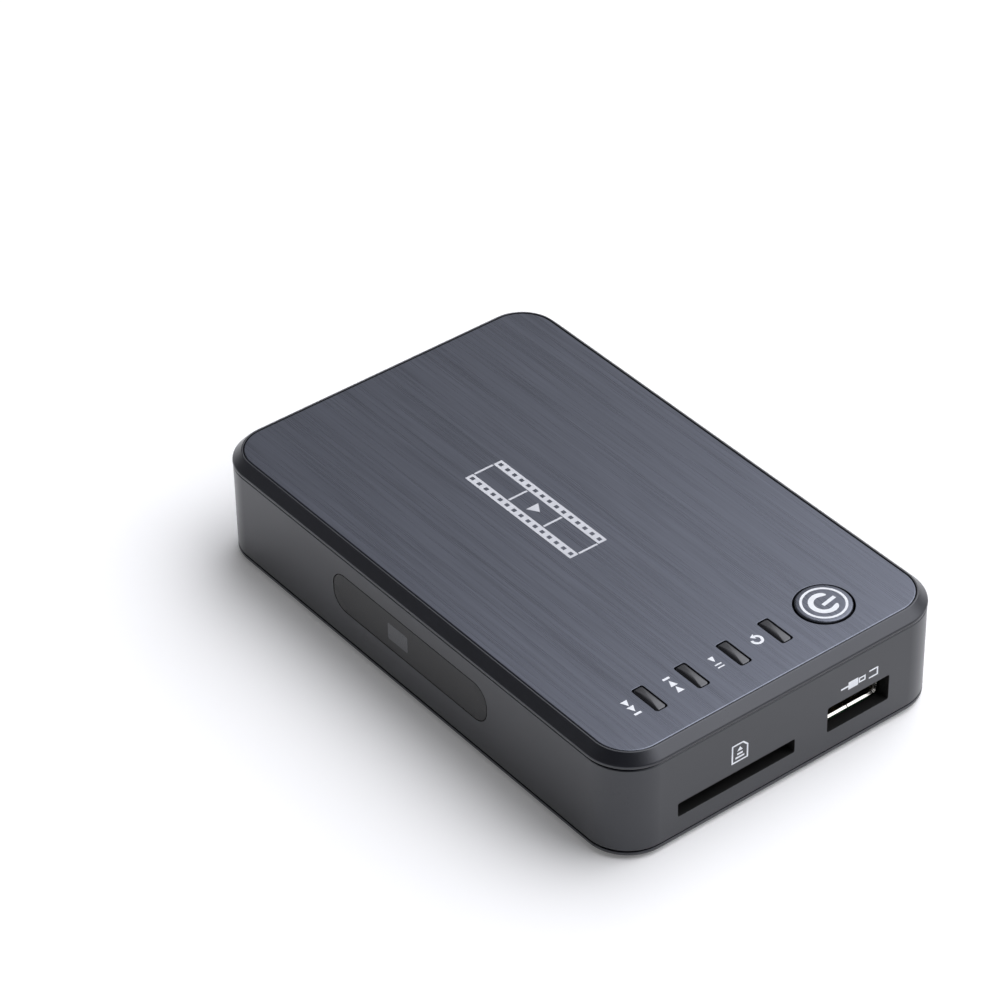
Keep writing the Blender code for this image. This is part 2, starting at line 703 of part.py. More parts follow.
def build_circuit_board():
    """Main board on the bottom cover's posts, with a hole for each case screw."""
    inset = -WALL - BOARD_MARGIN
    board = place("circuit_board", prism(case_outline(inset), BOARD_BOTTOM, BOARD_TOP), "board green")
    hole = circle_outline(SCREW_SHANK_RADIUS + FIT)
    places = [(x, y, 0) for x, y in screw_places()]
    low = BOARD_BOTTOM - OVERRUN
    cut(board, "board_holes", [prism(hole, low, BOARD_TOP + OVERRUN) for _ in places], places)


def place_block(name, half_x, half_y, height, kind, location):
    """A plain block that stands on its place."""
    place(name, prism(box_outline(half_x, half_y), 0, height), kind, location)


def build_chips():
    """Main chip with its pad and heat sink, memory and flash."""
    place_block("main_chip", CHIP_SIDE / 2, CHIP_SIDE / 2, CHIP_HEIGHT, "chip epoxy",
                (CHIP_ALONG, CHIP_ASIDE, ON_BOARD))
    pad_bottom = ON_BOARD + CHIP_HEIGHT + FIT
    place_block("thermal_pad", PAD_SIDE / 2, PAD_SIDE / 2, PAD_THICKNESS, "thermal pad",
                (CHIP_ALONG, CHIP_ASIDE, pad_bottom))
    place("heat_sink", heat_sink_shape(), "aluminium",
          (CHIP_ALONG, CHIP_ASIDE, pad_bottom + PAD_THICKNESS + FIT))
    place_block("memory_chip", MEMORY_LENGTH / 2, MEMORY_WIDTH / 2, MEMORY_HEIGHT, "chip epoxy",
                (MEMORY_ALONG, MEMORY_ASIDE, ON_BOARD))
    place_block("flash_chip", FLASH_LENGTH / 2, FLASH_WIDTH / 2, FLASH_HEIGHT, "chip epoxy",
                (FLASH_ALONG, FLASH_ASIDE, ON_BOARD))


def heat_sink_shape():
    """A comb outline, base down, carried along Y."""
    half = SINK_SIDE / 2
    pitch = SINK_SIDE / (SINK_FINS - 1 + SINK_FIN_SHARE)
    fin = pitch * SINK_FIN_SHARE
    outline = [(-half, 0), (half, 0)]
    for number in reversed(range(SINK_FINS)):
        left = -half + number * pitch
        outline.append((left + fin, SINK_HEIGHT))
        outline.append((left, SINK_HEIGHT))
        if number:
            outline.append((left, SINK_BASE))
            outline.append((left - pitch + fin, SINK_BASE))
    return prism(outline, -half, half, "y")


def build_small_parts():
    """Crystal, inductor and two capacitors."""
    can = rounded_outline(CRYSTAL_LENGTH / 2, CRYSTAL_WIDTH / 2, CRYSTAL_WIDTH / 2, SMALL_CORNER_STEPS)
    place("crystal", prism(can, 0, CRYSTAL_HEIGHT), "nickel",
          (CRYSTAL_ALONG, CRYSTAL_ASIDE, ON_BOARD), smooth=True)
    core = rounded_outline(INDUCTOR_SIDE / 2, INDUCTOR_SIDE / 2, INDUCTOR_CORNER, SMALL_CORNER_STEPS)
    place("inductor", prism(core, 0, INDUCTOR_HEIGHT), "ferrite",
          (INDUCTOR_ALONG, INDUCTOR_ASIDE, ON_BOARD), smooth=True)
    for number in (1, 2):
        rings = [
            (circle_outline(CAPACITOR_RADIUS), 0),
            (circle_outline(CAPACITOR_RADIUS), CAPACITOR_HEIGHT - CAPACITOR_BEVEL),
            (circle_outline(CAPACITOR_RADIUS - CAPACITOR_BEVEL), CAPACITOR_HEIGHT),
        ]
        along = CAPACITOR_ALONG - (number - 1) * CAPACITOR_PITCH
        place(f"capacitor_{number}", loft(rings), "aluminium",
              (along, CAPACITOR_ASIDE, ON_BOARD), smooth=True)


def build_usb_socket():
    """Sheet shell on two legs, insulator with its tongue high in the mouth, and four contacts under it."""
    bottom = BOARD_TOP + USB_LIFT
    inner_bottom = bottom + USB_SHEET
    centre = inner_bottom + USB_INNER_HEIGHT / 2
    back = SOCKET_END - USB_DEPTH
    outer = box_outline(USB_INNER_WIDTH / 2 + USB_SHEET, USB_INNER_HEIGHT / 2 + USB_SHEET)
    inner = box_outline(USB_INNER_WIDTH / 2, USB_INNER_HEIGHT / 2)
    rings = [(outer, back), (outer, SOCKET_END), (inner, SOCKET_END), (inner, back)]
    shell = place("usb_shell", loft(rings, "x", closed=True), "nickel", (0, USB_ASIDE, centre))
    leg = box_outline(USB_LEG_LENGTH / 2, USB_SHEET / 2)
    leg_along = back + USB_LEG_FROM_BACK
    leg_aside = USB_INNER_WIDTH / 2 + USB_SHEET / 2
    legs = [prism(leg, ON_BOARD, centre) for _ in range(2)]
    add(shell, "usb_legs", legs, [(leg_along, USB_ASIDE + side * leg_aside, 0) for side in (-1, 1)])
    build_usb_body(back, centre)


def build_usb_body(back, centre):
    """The insulator's block at the back of the shell, its tongue, and the contacts."""
    block = box_outline(USB_INNER_WIDTH / 2 - FIT, USB_INNER_HEIGHT / 2 - FIT)
    body = place("usb_body", prism(block, back, back + USB_BLOCK_DEPTH, "x"), "black insulator",
                 (0, USB_ASIDE, centre))
    tongue_height = centre + USB_INNER_HEIGHT / 2 - USB_TONGUE_BELOW_ROOF - USB_TONGUE_THICKNESS / 2
    tongue_tip = SOCKET_END - USB_TONGUE_SET_BACK
    tongue = box_outline(USB_TONGUE_WIDTH / 2, USB_TONGUE_THICKNESS / 2)
    add(body, "usb_tongue", [prism(tongue, back + USB_BLOCK_DEPTH / 2, tongue_tip, "x")],
        [(0, USB_ASIDE, tongue_height)])
    strip = box_outline(USB_CONTACT_WIDTH / 2, USB_CONTACT_THICKNESS / 2)
    height = tongue_height - USB_TONGUE_THICKNESS / 2 - FIT - USB_CONTACT_THICKNESS / 2
    tip = tongue_tip - USB_CONTACT_WIDTH
    asides = (-USB_CONTACT_OUTER, -USB_CONTACT_INNER, USB_CONTACT_INNER, USB_CONTACT_OUTER)
    for number, aside in enumerate(asides, start=1):
        place(f"usb_contact_{number}", prism(strip, tip - USB_CONTACT_LENGTH, tip, "x"), "gold",
              (0, USB_ASIDE + aside, height))


def build_card_socket():
    """Insulator with rails round the card's space, and a folded sheet over it."""
    half = CARD_WIDTH / 2 + CARD_RAIL
    front = SOCKET_END
    back = front - CARD_DEPTH
    space_bottom = ON_BOARD + CARD_FLOOR
    opening_top = CASE_BASE + CARD_CENTRE_HEIGHT + CARD_OPENING_HEIGHT / 2
    rail_top = opening_top - FIT
    block = prism(box_outline(CARD_DEPTH / 2, half), ON_BOARD, rail_top)
    body = place("card_body", block, "black insulator", ((front + back) / 2, CARD_ASIDE, 0))
    pocket = box_outline((CARD_DEPTH - CARD_BACK + OVERRUN) / 2, CARD_WIDTH / 2)
    pocket_along = (back + CARD_BACK + front + OVERRUN) / 2
    cut(body, "card_pocket", [prism(pocket, space_bottom, rail_top + OVERRUN)], [(pocket_along, CARD_ASIDE, 0)])
    inner = half + FIT
    outer = inner + CARD_SHEET
    low = opening_top - CARD_SHEET_SKIRT
    high = opening_top + CARD_SHEET
    fold = [(-outer, low), (-inner, low), (-inner, opening_top), (inner, opening_top),
            (inner, low), (outer, low), (outer, high), (-outer, high)]
    place("card_shell", prism(fold, back, front, "x"), "steel", (0, CARD_ASIDE, 0))


def build_back_sockets():
    """HDMI socket, AV jack and power jack, each standing on the board behind its opening."""
    hdmi, jack, power = back_heights()
    build_hdmi(hdmi)
    build_av_jack(jack)
    build_dc_jack(power)


def build_hdmi(height):
    """Sheet shell, and an insulator with a thin tongue."""
    back = SOCKET_SIDE - HDMI_DEPTH
    outer = hdmi_outline(0)
    inner = hdmi_outline(-HDMI_SHEET)
    rings = [(outer, back), (outer, SOCKET_SIDE), (inner, SOCKET_SIDE), (inner, back)]
    place("hdmi_shell", loft(rings, "y", closed=True), "nickel", (HDMI_ALONG, 0, height))
    block = hdmi_outline(-HDMI_SHEET - FIT)
    body = place("hdmi_body", prism(block, back, back + HDMI_BLOCK_DEPTH, "y"), "black insulator",
                 (HDMI_ALONG, 0, height))
    tongue = box_outline(HDMI_TONGUE_WIDTH / 2, HDMI_TONGUE_THICKNESS / 2)
    low = back + HDMI_BLOCK_DEPTH / 2
    add(body, "hdmi_tongue", [prism(tongue, low, SOCKET_SIDE - HDMI_TONGUE_SET_BACK, "y")],
        [(HDMI_ALONG, 0, height)])


def build_av_jack(height):
    """Block with a round nose in the wall's hole and a blind bore."""
    back = SOCKET_SIDE - AV_BODY_DEPTH
    block = box_outline(AV_BODY_WIDTH / 2, AV_BODY_HEIGHT / 2)
    jack = place("av_jack", prism(block, back, SOCKET_SIDE, "y"), "black insulator", (AV_ALONG, 0, height))
    nose_tip = HALF_WIDTH - AV_NOSE_SUNK
    nose = prism(circle_outline(AV_NOSE_RADIUS), SOCKET_SIDE - WALL, nose_tip, "y")
    add(jack, "av_nose", [nose], [(AV_ALONG, 0, height)])
    bore = prism(circle_outline(AV_BORE_RADIUS), nose_tip - AV_BORE_DEPTH, nose_tip + OVERRUN, "y")
    cut(jack, "av_bore", [bore], [(AV_ALONG, 0, height)])


def build_dc_jack(height):
    """Block with a blind bore and a pin along its middle."""
    back = SOCKET_SIDE - DC_BODY_DEPTH
    bore_floor = SOCKET_SIDE - DC_BORE_DEPTH
    block = box_outline(DC_BODY_WIDTH / 2, DC_BODY_HEIGHT / 2)
    jack = place("dc_jack", prism(block, back, SOCKET_SIDE, "y"), "black insulator", (DC_ALONG, 0, height))
    bore = prism(circle_outline(DC_BORE_RADIUS), bore_floor, SOCKET_SIDE + OVERRUN, "y")
    cut(jack, "dc_bore", [bore], [(DC_ALONG, 0, height)])
    pin = prism(circle_outline(DC_PIN_RADIUS), bore_floor + FIT, SOCKET_SIDE - DC_PIN_SET_BACK, "y")
    place("dc_pin", pin, "nickel", (DC_ALONG, 0, height), smooth=True)


def build_receiver():
    """Infrared receiver on its stem, with its round lens towards the window."""
    front = -SOCKET_SIDE + RECEIVER_DOME_DEPTH
    centre = CASE_BASE + WINDOW_CENTRE_HEIGHT
    body = place("receiver_module", prism(box_outline(RECEIVER_WIDTH / 2, RECEIVER_HEIGHT / 2), front,
                                          front + RECEIVER_DEPTH, "y"),
                 "chip epoxy", (RECEIVER_ALONG, 0, centre))
    stem = prism(box_outline(RECEIVER_STEM_WIDTH / 2, RECEIVER_STEM_DEPTH / 2), ON_BOARD, centre)
    add(body, "receiver_stem", [stem], [(RECEIVER_ALONG, front + RECEIVER_DEPTH / 2, 0)])
    dome = [
        (circle_outline(RECEIVER_DOME_RADIUS), front + RECEIVER_DEPTH / 2),
        (circle_outline(RECEIVER_DOME_RADIUS), front - RECEIVER_DOME_DEPTH / 2),
        (circle_outline(RECEIVER_DOME_RADIUS / 2), front - RECEIVER_DOME_DEPTH),
    ]
    add(body, "receiver_dome", [loft(dome, "y")], [(RECEIVER_ALONG, 0, centre)])


def build_status_led():
    """Round LED lying towards the window, on a stem."""
    front = -SOCKET_SIDE
    centre = CASE_BASE + WINDOW_CENTRE_HEIGHT
    rings = [
        (circle_outline(LED_RADIUS / 2), front),
        (circle_outline(LED_RADIUS), front + LED_RADIUS / 2),
        (circle_outline(LED_RADIUS), front + LED_LENGTH),
    ]
    led = place("status_led", loft(rings, "y"), "clear epoxy", (LED_ALONG, 0, centre), smooth=True)
    stem = prism(box_outline(LED_STEM_WIDTH / 2, LED_STEM_WIDTH / 2), ON_BOARD, centre)
    add(led, "led_stem", [stem], [(LED_ALONG, front + LED_LENGTH - LED_STEM_WIDTH, 0)])


def build_key_board():
    """Board strip that hangs under the keys on two screws."""
    asides = key_asides()
    low = asides[0] - SWITCH_SIDE / 2 - KEY_BOARD_MARGIN
    high = POWER_ASIDE + SWITCH_SIDE / 2 + KEY_BOARD_MARGIN
    middle = (low + high) / 2
    outline = box_outline(KEY_BOARD_WIDTH / 2, (high - low) / 2)
    board = place("key_board", prism(outline, KEY_BOARD_BOTTOM, KEY_BOARD_TOP), "board green",
                  (KEY_ALONG, middle, 0))
    hole = circle_outline(KEY_SCREW_RADIUS + FIT)
    posts = [(KEY_ALONG, aside, 0) for aside in key_post_asides()]
    cut(board, "key_board_holes",
        [prism(hole, KEY_BOARD_BOTTOM - OVERRUN, KEY_BOARD_TOP + OVERRUN) for _ in posts], posts)
    head_bottom = KEY_BOARD_BOTTOM - FIT - KEY_SCREW_HEAD_HEIGHT
    for number, aside in enumerate(key_post_asides(), start=1):
        shape = screw_shape(KEY_SCREW_HEAD_RADIUS, KEY_SCREW_HEAD_HEIGHT,
                            KEY_SCREW_RADIUS, KEY_SCREW_LENGTH)
        place(f"key_board_screw_{number}", shape, "steel", (KEY_ALONG, aside, head_bottom), smooth=True)


def build_switch(label, aside, parent):
    """Switch body with a round well, and the plunger that the key pushes into it."""
    half = SWITCH_SIDE / 2
    block = prism(box_outline(half, half), SWITCH_BOTTOM, SWITCH_TOP)
    body = place(f"{label}_switch", block, "black insulator", (KEY_ALONG, aside, 0))
    well = prism(circle_outline(PLUNGER_RADIUS + FIT), WELL_FLOOR, SWITCH_TOP + OVERRUN)
    cut(body, f"{label}_well", [well], [(KEY_ALONG, aside, 0)])
    plunger = prism(circle_outline(PLUNGER_RADIUS), PLUNGER_BOTTOM - PLATE_TOP, PLUNGER_TOP - PLATE_TOP)
    place(f"{label}_plunger", plunger, "ivory plastic", smooth=True, parent=parent)


def key_axis(label, aside):
    """An empty on a key's axis, at the plate's top, that its moving pieces are parented to."""
    axis = bpy.data.objects.new(f"{label}_axis", None)
    axis.location = (KEY_ALONG, aside, PLATE_TOP)
    bpy.context.collection.objects.link(axis)
    return axis


def key_rings(shaft, flange, proud, edge, shaft_inset):
    """Rings of a pressed piece from its flange up to its bevelled top."""
    return [
        (flange, FLANGE_BOTTOM - PLATE_TOP),
        (flange, FLANGE_TOP - PLATE_TOP),
        (shaft, FLANGE_TOP - PLATE_TOP),
        (shaft, proud - edge),
        (shaft_inset, proud),
    ]


def build_keys():
    """Four long keys and the round power button, each over its own switch."""
    half_length = KEY_OPENING_LENGTH / 2 - KEY_GAP
    half_width = KEY_OPENING_WIDTH / 2 - KEY_GAP
    for label, aside in zip(KEY_NAMES, key_asides()):
        axis = key_axis(f"{label}_key", aside)
        shaft = rounded_outline(half_length, half_width, KEY_OPENING_CORNER, SMALL_CORNER_STEPS)
        top = rounded_outline(half_length - KEY_BEVEL, half_width - KEY_BEVEL,
                              KEY_OPENING_CORNER - KEY_BEVEL, SMALL_CORNER_STEPS)
        flange = rounded_outline(KEY_OPENING_LENGTH / 2 + KEY_FLANGE, KEY_OPENING_WIDTH / 2 + KEY_FLANGE,
                                 KEY_OPENING_CORNER, SMALL_CORNER_STEPS)
        rings = key_rings(shaft, flange, KEY_PROUD, KEY_BEVEL, top)
        place(f"{label}_key", loft(rings), "gloss black", smooth=True, parent=axis)
        build_switch(label, aside, axis)
    axis = key_axis("power_button", POWER_ASIDE)
    radius = POWER_OPENING_RADIUS - POWER_GAP
    shaft = circle_outline(radius, BUTTON_STEPS)
    top = circle_outline(radius - POWER_BEVEL, BUTTON_STEPS)
    flange = circle_outline(POWER_OPENING_RADIUS + POWER_FLANGE, BUTTON_STEPS)
    rings = key_rings(shaft, flange, POWER_PROUD, POWER_BEVEL, top)
    place("power_button", loft(rings), "brushed plate", smooth=True, parent=axis)
    build_switch("power", POWER_ASIDE, axis)


def build_ribbon():
    """Flat cable that leaves the key board's socket, turns half round and enters the board's socket."""
    upper_bottom = KEY_BOARD_BOTTOM - FIT - RIBBON_SOCKET_HEIGHT
    upper_along = KEY_ALONG - KEY_BOARD_WIDTH / 2 + RIBBON_SOCKET_LENGTH / 2
    socket_half = RIBBON_SOCKET_LENGTH / 2
    for name, bottom in (("upper_ribbon_socket", upper_bottom), ("lower_ribbon_socket", ON_BOARD)):
        place_block(name, socket_half, RIBBON_SOCKET_WIDTH / 2, RIBBON_SOCKET_HEIGHT, "ivory plastic",
                    (upper_along, RIBBON_ASIDE, bottom))
    high = upper_bottom + RIBBON_SOCKET_HEIGHT / 2
    low = ON_BOARD + RIBBON_SOCKET_HEIGHT / 2
    mouth = upper_along - socket_half - FIT
    bend = mouth - RIBBON_STRAIGHT
    middle = (high + low) / 2
    outer = (high - low + RIBBON_THICKNESS) / 2
    inner = outer - RIBBON_THICKNESS
    turns = [math.pi * step / RIBBON_STEPS for step in range(RIBBON_STEPS + 1)]
    outline = [(mouth, middle + outer)]
    outline += [(bend - outer * math.sin(turn), middle + outer * math.cos(turn)) for turn in turns]
    outline.append((mouth, middle - outer))
    outline.append((mouth, middle - inner))
    outline += [(bend - inner * math.sin(turn), middle + inner * math.cos(turn)) for turn in reversed(turns)]
    outline.append((mouth, middle + inner))
    half = RIBBON_WIDTH / 2
    place("key_ribbon", prism(outline, -half, half, "y"), "ribbon", (0, RIBBON_ASIDE, 0), smooth=True)


def main():
    """Build the whole player."""
    clear_scene()
    build_bottom_cover()
    build_body()
    build_top_cover()
    build_top_plate()
    build_window()
    build_feet()
    build_case_screws()
    build_circuit_board()
    build_chips()
    build_small_parts()
    build_usb_socket()
    build_card_socket()
    build_back_sockets()
    build_receiver()
    build_status_led()
    build_key_board()
    build_keys()
    build_ribbon()


main()
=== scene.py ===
"""Media player box: fine surfaces, finishes, prints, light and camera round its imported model.

Lengths are in metres, in the model's own frame: +X out of the card slot's end, -Y out of the window side, +Z up.
"""
import json
import math

import bpy
import numpy as np
from bpy.props import FloatProperty, FloatVectorProperty, PointerProperty
from mathutils import Matrix, Vector


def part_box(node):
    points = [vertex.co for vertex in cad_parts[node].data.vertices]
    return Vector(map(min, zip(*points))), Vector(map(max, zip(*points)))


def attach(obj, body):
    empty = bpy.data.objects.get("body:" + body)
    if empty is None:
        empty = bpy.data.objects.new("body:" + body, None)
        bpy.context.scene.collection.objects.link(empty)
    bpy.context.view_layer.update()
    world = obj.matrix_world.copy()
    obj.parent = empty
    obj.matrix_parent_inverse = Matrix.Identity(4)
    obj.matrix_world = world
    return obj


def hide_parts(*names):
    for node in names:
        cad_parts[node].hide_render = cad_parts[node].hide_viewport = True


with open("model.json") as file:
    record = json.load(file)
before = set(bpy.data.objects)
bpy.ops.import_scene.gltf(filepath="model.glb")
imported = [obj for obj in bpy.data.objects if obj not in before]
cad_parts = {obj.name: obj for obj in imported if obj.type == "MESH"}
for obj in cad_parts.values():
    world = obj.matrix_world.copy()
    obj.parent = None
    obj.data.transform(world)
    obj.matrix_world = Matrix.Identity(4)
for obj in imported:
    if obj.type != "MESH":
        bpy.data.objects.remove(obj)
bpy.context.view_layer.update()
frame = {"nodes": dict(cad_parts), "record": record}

bl_info = {
    "name": "Media Player Box",
    "version": (1, 0, 0),
    "blender": (4, 5, 0),
    "location": "3D View > Sidebar > Player",
    "description": "Builds a media player's case, plate, keys and sockets with their finishes, and its stage",
    "category": "Object",
}

# Steps round a quarter corner, round a circle, and along a rounded edge
CORNER_STEPS = 24
SMALL_CORNER_STEPS = 10
CIRCLE_STEPS = 96
EDGE_STEPS = 5
TOP_RINGS = 16

# Clearance that neighbours keep, and how far a cutter runs past what it cuts
FIT = 0.0003
OVERRUN = 0.0010
HAIR = 0.000002
SHARP_ANGLE = math.radians(32)

# Posts round the case screws, the holes in them, and the collars round the feet and screw heads
POST_RADIUS = 0.0028
SCREW_HOLE = 0.0013
SHORT_POST_RADIUS = 0.0013
SHORT_SCREW_HOLE = 0.0009
HEAD_SEAT = (0.0022, 0.0014)
FOOT_SEAT = (0.0043, 0.0009)

# Openings in the +X wall: half width, half height, corner, and centre across and above
CARD_OPENING = (0.0130, 0.0014, 0.00025, -0.0113, 0.0073)
HOST_OPENING = (0.00705, 0.00265, 0.0003, 0.0164, 0.0088)
OPENING_FLARE = 0.00012

# Vent slots in the bottom cover: half width, half length, end radius, pitch and count
VENT = (0.0007, 0.0090, 0.00069)
VENT_PITCH = 0.0042
VENT_COUNT = 7

# How high the board stands over the bottom cover
STANDOFF = 0.0008

# Corner radius of the receiver window, and the lighter patch on it: half length, half height, corner, place
WINDOW_CORNER = 0.0034
PATCH = (0.00285, 0.0018, 0.0004)
PATCH_PLACE = (-0.00315, 0, 0.01215)

# Flange under each key and the button, bar lengths and widths of a screw's cross, and the cross's depth
FLANGE = 0.0009
CROSS = (0.0011, 0.00025)
CROSS_DEPTH = 0.0005

# Glyph on the power button: the ring's radius and line, then the hook's middle radius, angles, width and
# width at its tips, then the bar's half length, half width, corner and place
GLYPH_RING = (0.00425, 0.00048)
GLYPH_HOOK = (0.00228, math.radians(130), math.radians(410), 0.00100, 0.00030)
GLYPH_BAR = (0.00160, 0.00036, 0.00008)
GLYPH_BAR_PLACE = (0.0001, 0.00105)

# The soft lamp's place and width, and the heights, as a direction's Z, at which the surround's pale foot ends,
# its dim upper part fades, and the light behind fades in
LAMP_PLACE = (0.35, 0.45, 1.0)
LAMP_WIDTH = 0.9
FOOT_HEIGHTS = (0.04, 0.16)
DIM_HEIGHTS = (0.40, 0.80)
LIGHT_HEIGHTS = (0.15, 0.50)
SURROUND_TINT = (0.98, 0.985, 1.03, 1.0)

# How far before the soft light's rim the wider light round it starts, and is full
VEIL_START = 0.21
VEIL_FULL = 0.04

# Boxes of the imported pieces, lowest and highest corner
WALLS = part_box("case_body")
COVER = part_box("top_cover")
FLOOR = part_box("bottom_cover")
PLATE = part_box("top_plate")
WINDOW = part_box("receiver_window")
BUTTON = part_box("power_button")
HOST_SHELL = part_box("usb_shell")
HOST_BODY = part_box("usb_body")
VIDEO_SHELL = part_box("hdmi_shell")
SOUND_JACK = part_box("av_jack")
POWER_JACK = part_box("dc_jack")
POWER_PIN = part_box("dc_pin")
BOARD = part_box("circuit_board")

KEY_NAMES = ("forward", "back", "play", "return")
KEYS = {name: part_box(f"{name}_key") for name in KEY_NAMES}


def middle(box):
    """Centre of a box."""
    return (box[0] + box[1]) / 2


def middles(name, count):
    """Centres of the pieces that share a name and are numbered from 1."""
    return [middle(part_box(f"{name}_{number}")) for number in range(1, count + 1)]


def length(name, default, description):
    """A size in metres that the panel shows."""
    return FloatProperty(name=name, default=default, description=description, unit="LENGTH", precision=5)


def colour(name, default, description):
    """A linear colour that the panel shows."""
    return FloatVectorProperty(name=name, default=default, description=description,
                               subtype="COLOR", size=3, min=0.0, max=1.0)


class PlayerSizes(bpy.types.PropertyGroup):
    """Sizes of the case, plate and keys."""

    half_length: length("Half length", WALLS[1].x, "From the middle to the lid's base outline, along the case")
    half_width: length("Half width", WALLS[1].y, "From the middle to the lid's base outline, across the case")
    corner: length("Corner", 0.0086, "Radius of the case's upright corners")
    wall_proud: length("Wall proud", 0.0003, "How far the wall's face stands outside the base outline")
    wall: length("Wall", 0.0020, "Thickness of the wall")
    tongue: length("Tongue", 0.0012, "Thickness of the lid's inner tongue")
    tongue_depth: length("Tongue depth", 0.0024, "How far the tongue reaches down into the case")
    panel: length("Panel", 0.0012, "Thickness of the lid under the plate")
    shoulder: length("Shoulder", 0.0025, "Height of the lid's sloped shoulder")
    shoulder_band: length("Shoulder band", 0.00065, "Height of the shoulder's upright edge")
    shoulder_round: length("Shoulder round", 0.00036, "Radius of the shoulder's lower edge")
    shoulder_break: length("Shoulder break", 0.0006, "Radius between the shoulder's edge and its slope")
    rim: length("Rim", 0.0003, "Width of the flat rim round the plate")
    plate_inset: length("Plate recess", 0.00155, "From the base outline in to the plate's recess")
    plate_gap: length("Plate gap", 0.00012, "Clearance round the plate")
    plate_edge: length("Plate edge", 0.00026, "Radius of the plate's upper edge")
    floor_edge: length("Floor edge", 0.0009, "Height of the bottom cover's outer edge")
    floor_round: length("Floor round", 0.0005, "Radius of the bottom cover's lower edge")
    wall_round: length("Wall round", 0.00030, "Radius of the wall's upper and lower edges")
    opening_edge: length("Opening edge", 0.00009, "Radius of the edges of the plate's openings")
    key_length: length("Key opening length", 0.0070, "Length of a key's opening")
    key_width: length("Key opening width", 0.0025, "Width of a key's opening")
    key_corner: length("Key corner", 0.0005, "Radius of a key opening's corners")
    key_gap: length("Key gap", 0.0002, "Clearance round a key")
    key_crown: length("Key crown", 0.00020, "How much lower a key's ends lie than its middle")
    power_opening: length("Button opening", 0.0055, "Radius of the power button's opening")
    power_edge: length("Button edge", 0.00030, "Radius of the power button's upper edge")
    ink: length("Ink", 0.000012, "Thickness of a print")


class PlayerColours(bpy.types.PropertyGroup):
    """Colours of the finishes."""

    case: colour("Case", (0.0085, 0.009, 0.0125), "Satin plastic of the case")
    # Darker than the case: bare plastic inside the openings, with painted shade for their recesses
    inside: colour("Inside", (0.006, 0.006, 0.006), "Bare plastic inside the openings")
    plate: colour("Plate", (0.130, 0.139, 0.168), "Brushed top plate")
    key: colour("Key", (0.010, 0.010, 0.012), "Glossy keys")
    window: colour("Window", (0.010, 0.010, 0.011), "Receiver window")
    ink: colour("Ink", (0.86, 0.88, 0.92), "White prints")
    silver: colour("Silver", (0.62, 0.63, 0.67), "Silver print on the plate")


class PlayerStage(bpy.types.PropertyGroup):
    """Light and camera."""

    lens: FloatProperty(name="Lens", default=147.02, description="Focal length in millimetres")
    azimuth: FloatProperty(name="Azimuth", default=math.radians(52.308), subtype="ANGLE",
                           description="Camera's direction round the player")
    elevation: FloatProperty(name="Elevation", default=math.radians(37.842), subtype="ANGLE",
                             description="Camera's height above the horizon")
    roll: FloatProperty(name="Roll", default=math.radians(-1.054), subtype="ANGLE",
                        description="Camera's turn about its view")
    place: FloatVectorProperty(name="Camera place", default=(0.44429, -0.35934, 0.47060), subtype="TRANSLATION",
                               description="Where the camera stands")
    floor: colour("Floor", (0.94, 0.94, 0.94), "Pale floor")
    dome: FloatProperty(name="Soft light", default=2.55, description="Brightness of the soft light behind")
    veil: FloatProperty(name="Wide light", default=0.45, description="Brightness of the wider light round it")
    light_axis: FloatVectorProperty(name="Light axis", default=(0.15, 0.68, 0.72), subtype="XYZ",
                                    description="Direction of the wide light's middle")
    light_rim: FloatProperty(name="Light rim", default=0.66, description="Share at which the wide light starts")
    light_core: FloatProperty(name="Light core", default=0.80, description="Share at which it is full")
    horizon: FloatProperty(name="Horizon", default=0.75, description="Brightness of the surround at the horizon")
    dim: FloatProperty(name="Surround", default=0.20, description="Brightness of the surround above it")
    floor_glow: FloatProperty(name="Floor glow", default=0.12, description="Brightness that the floor adds")
    lamp: FloatProperty(name="Lamp", default=1.5, description="Power of the soft lamp in watts")


def round_rectangle(half_u, half_v, radius, steps=SMALL_CORNER_STEPS):
    """Outline of a rectangle with round corners: each point is its corner's centre plus the radius times a
    direction that turns a quarter of a circle at each corner."""
    turn = np.linspace(0.0, np.pi / 2, steps + 1)
    angle = (np.arange(4)[:, None] * np.pi / 2 + turn).ravel()
    sides = np.repeat([(1, 1), (-1, 1), (-1, -1), (1, -1)], steps + 1, axis=0)
    centres = sides * np.array((half_u - radius, half_v - radius))
    return centres, np.stack([np.cos(angle), np.sin(angle)], axis=1), radius


def circle(radius, steps=CIRCLE_STEPS):
    """Outline of a circle: the radius times a direction that turns once round."""
    angle = np.arange(steps) * 2 * np.pi / steps
    return np.zeros((steps, 2)), np.stack([np.cos(angle), np.sin(angle)], axis=1), radius


def mitred(points):
    """Outline with sharp corners, anticlockwise: each corner's direction moves both of its sides out alike."""
    points = np.asarray(points, float)
    side = np.roll(points, -1, axis=0) - points
    side /= np.linalg.norm(side, axis=1)[:, None]
    normal = np.stack([side[:, 1], -side[:, 0]], axis=1)
    before = np.roll(normal, 1, axis=0)
    direction = (normal + before) / (1 + (normal * before).sum(axis=1))[:, None]
    return points, direction, 0.0


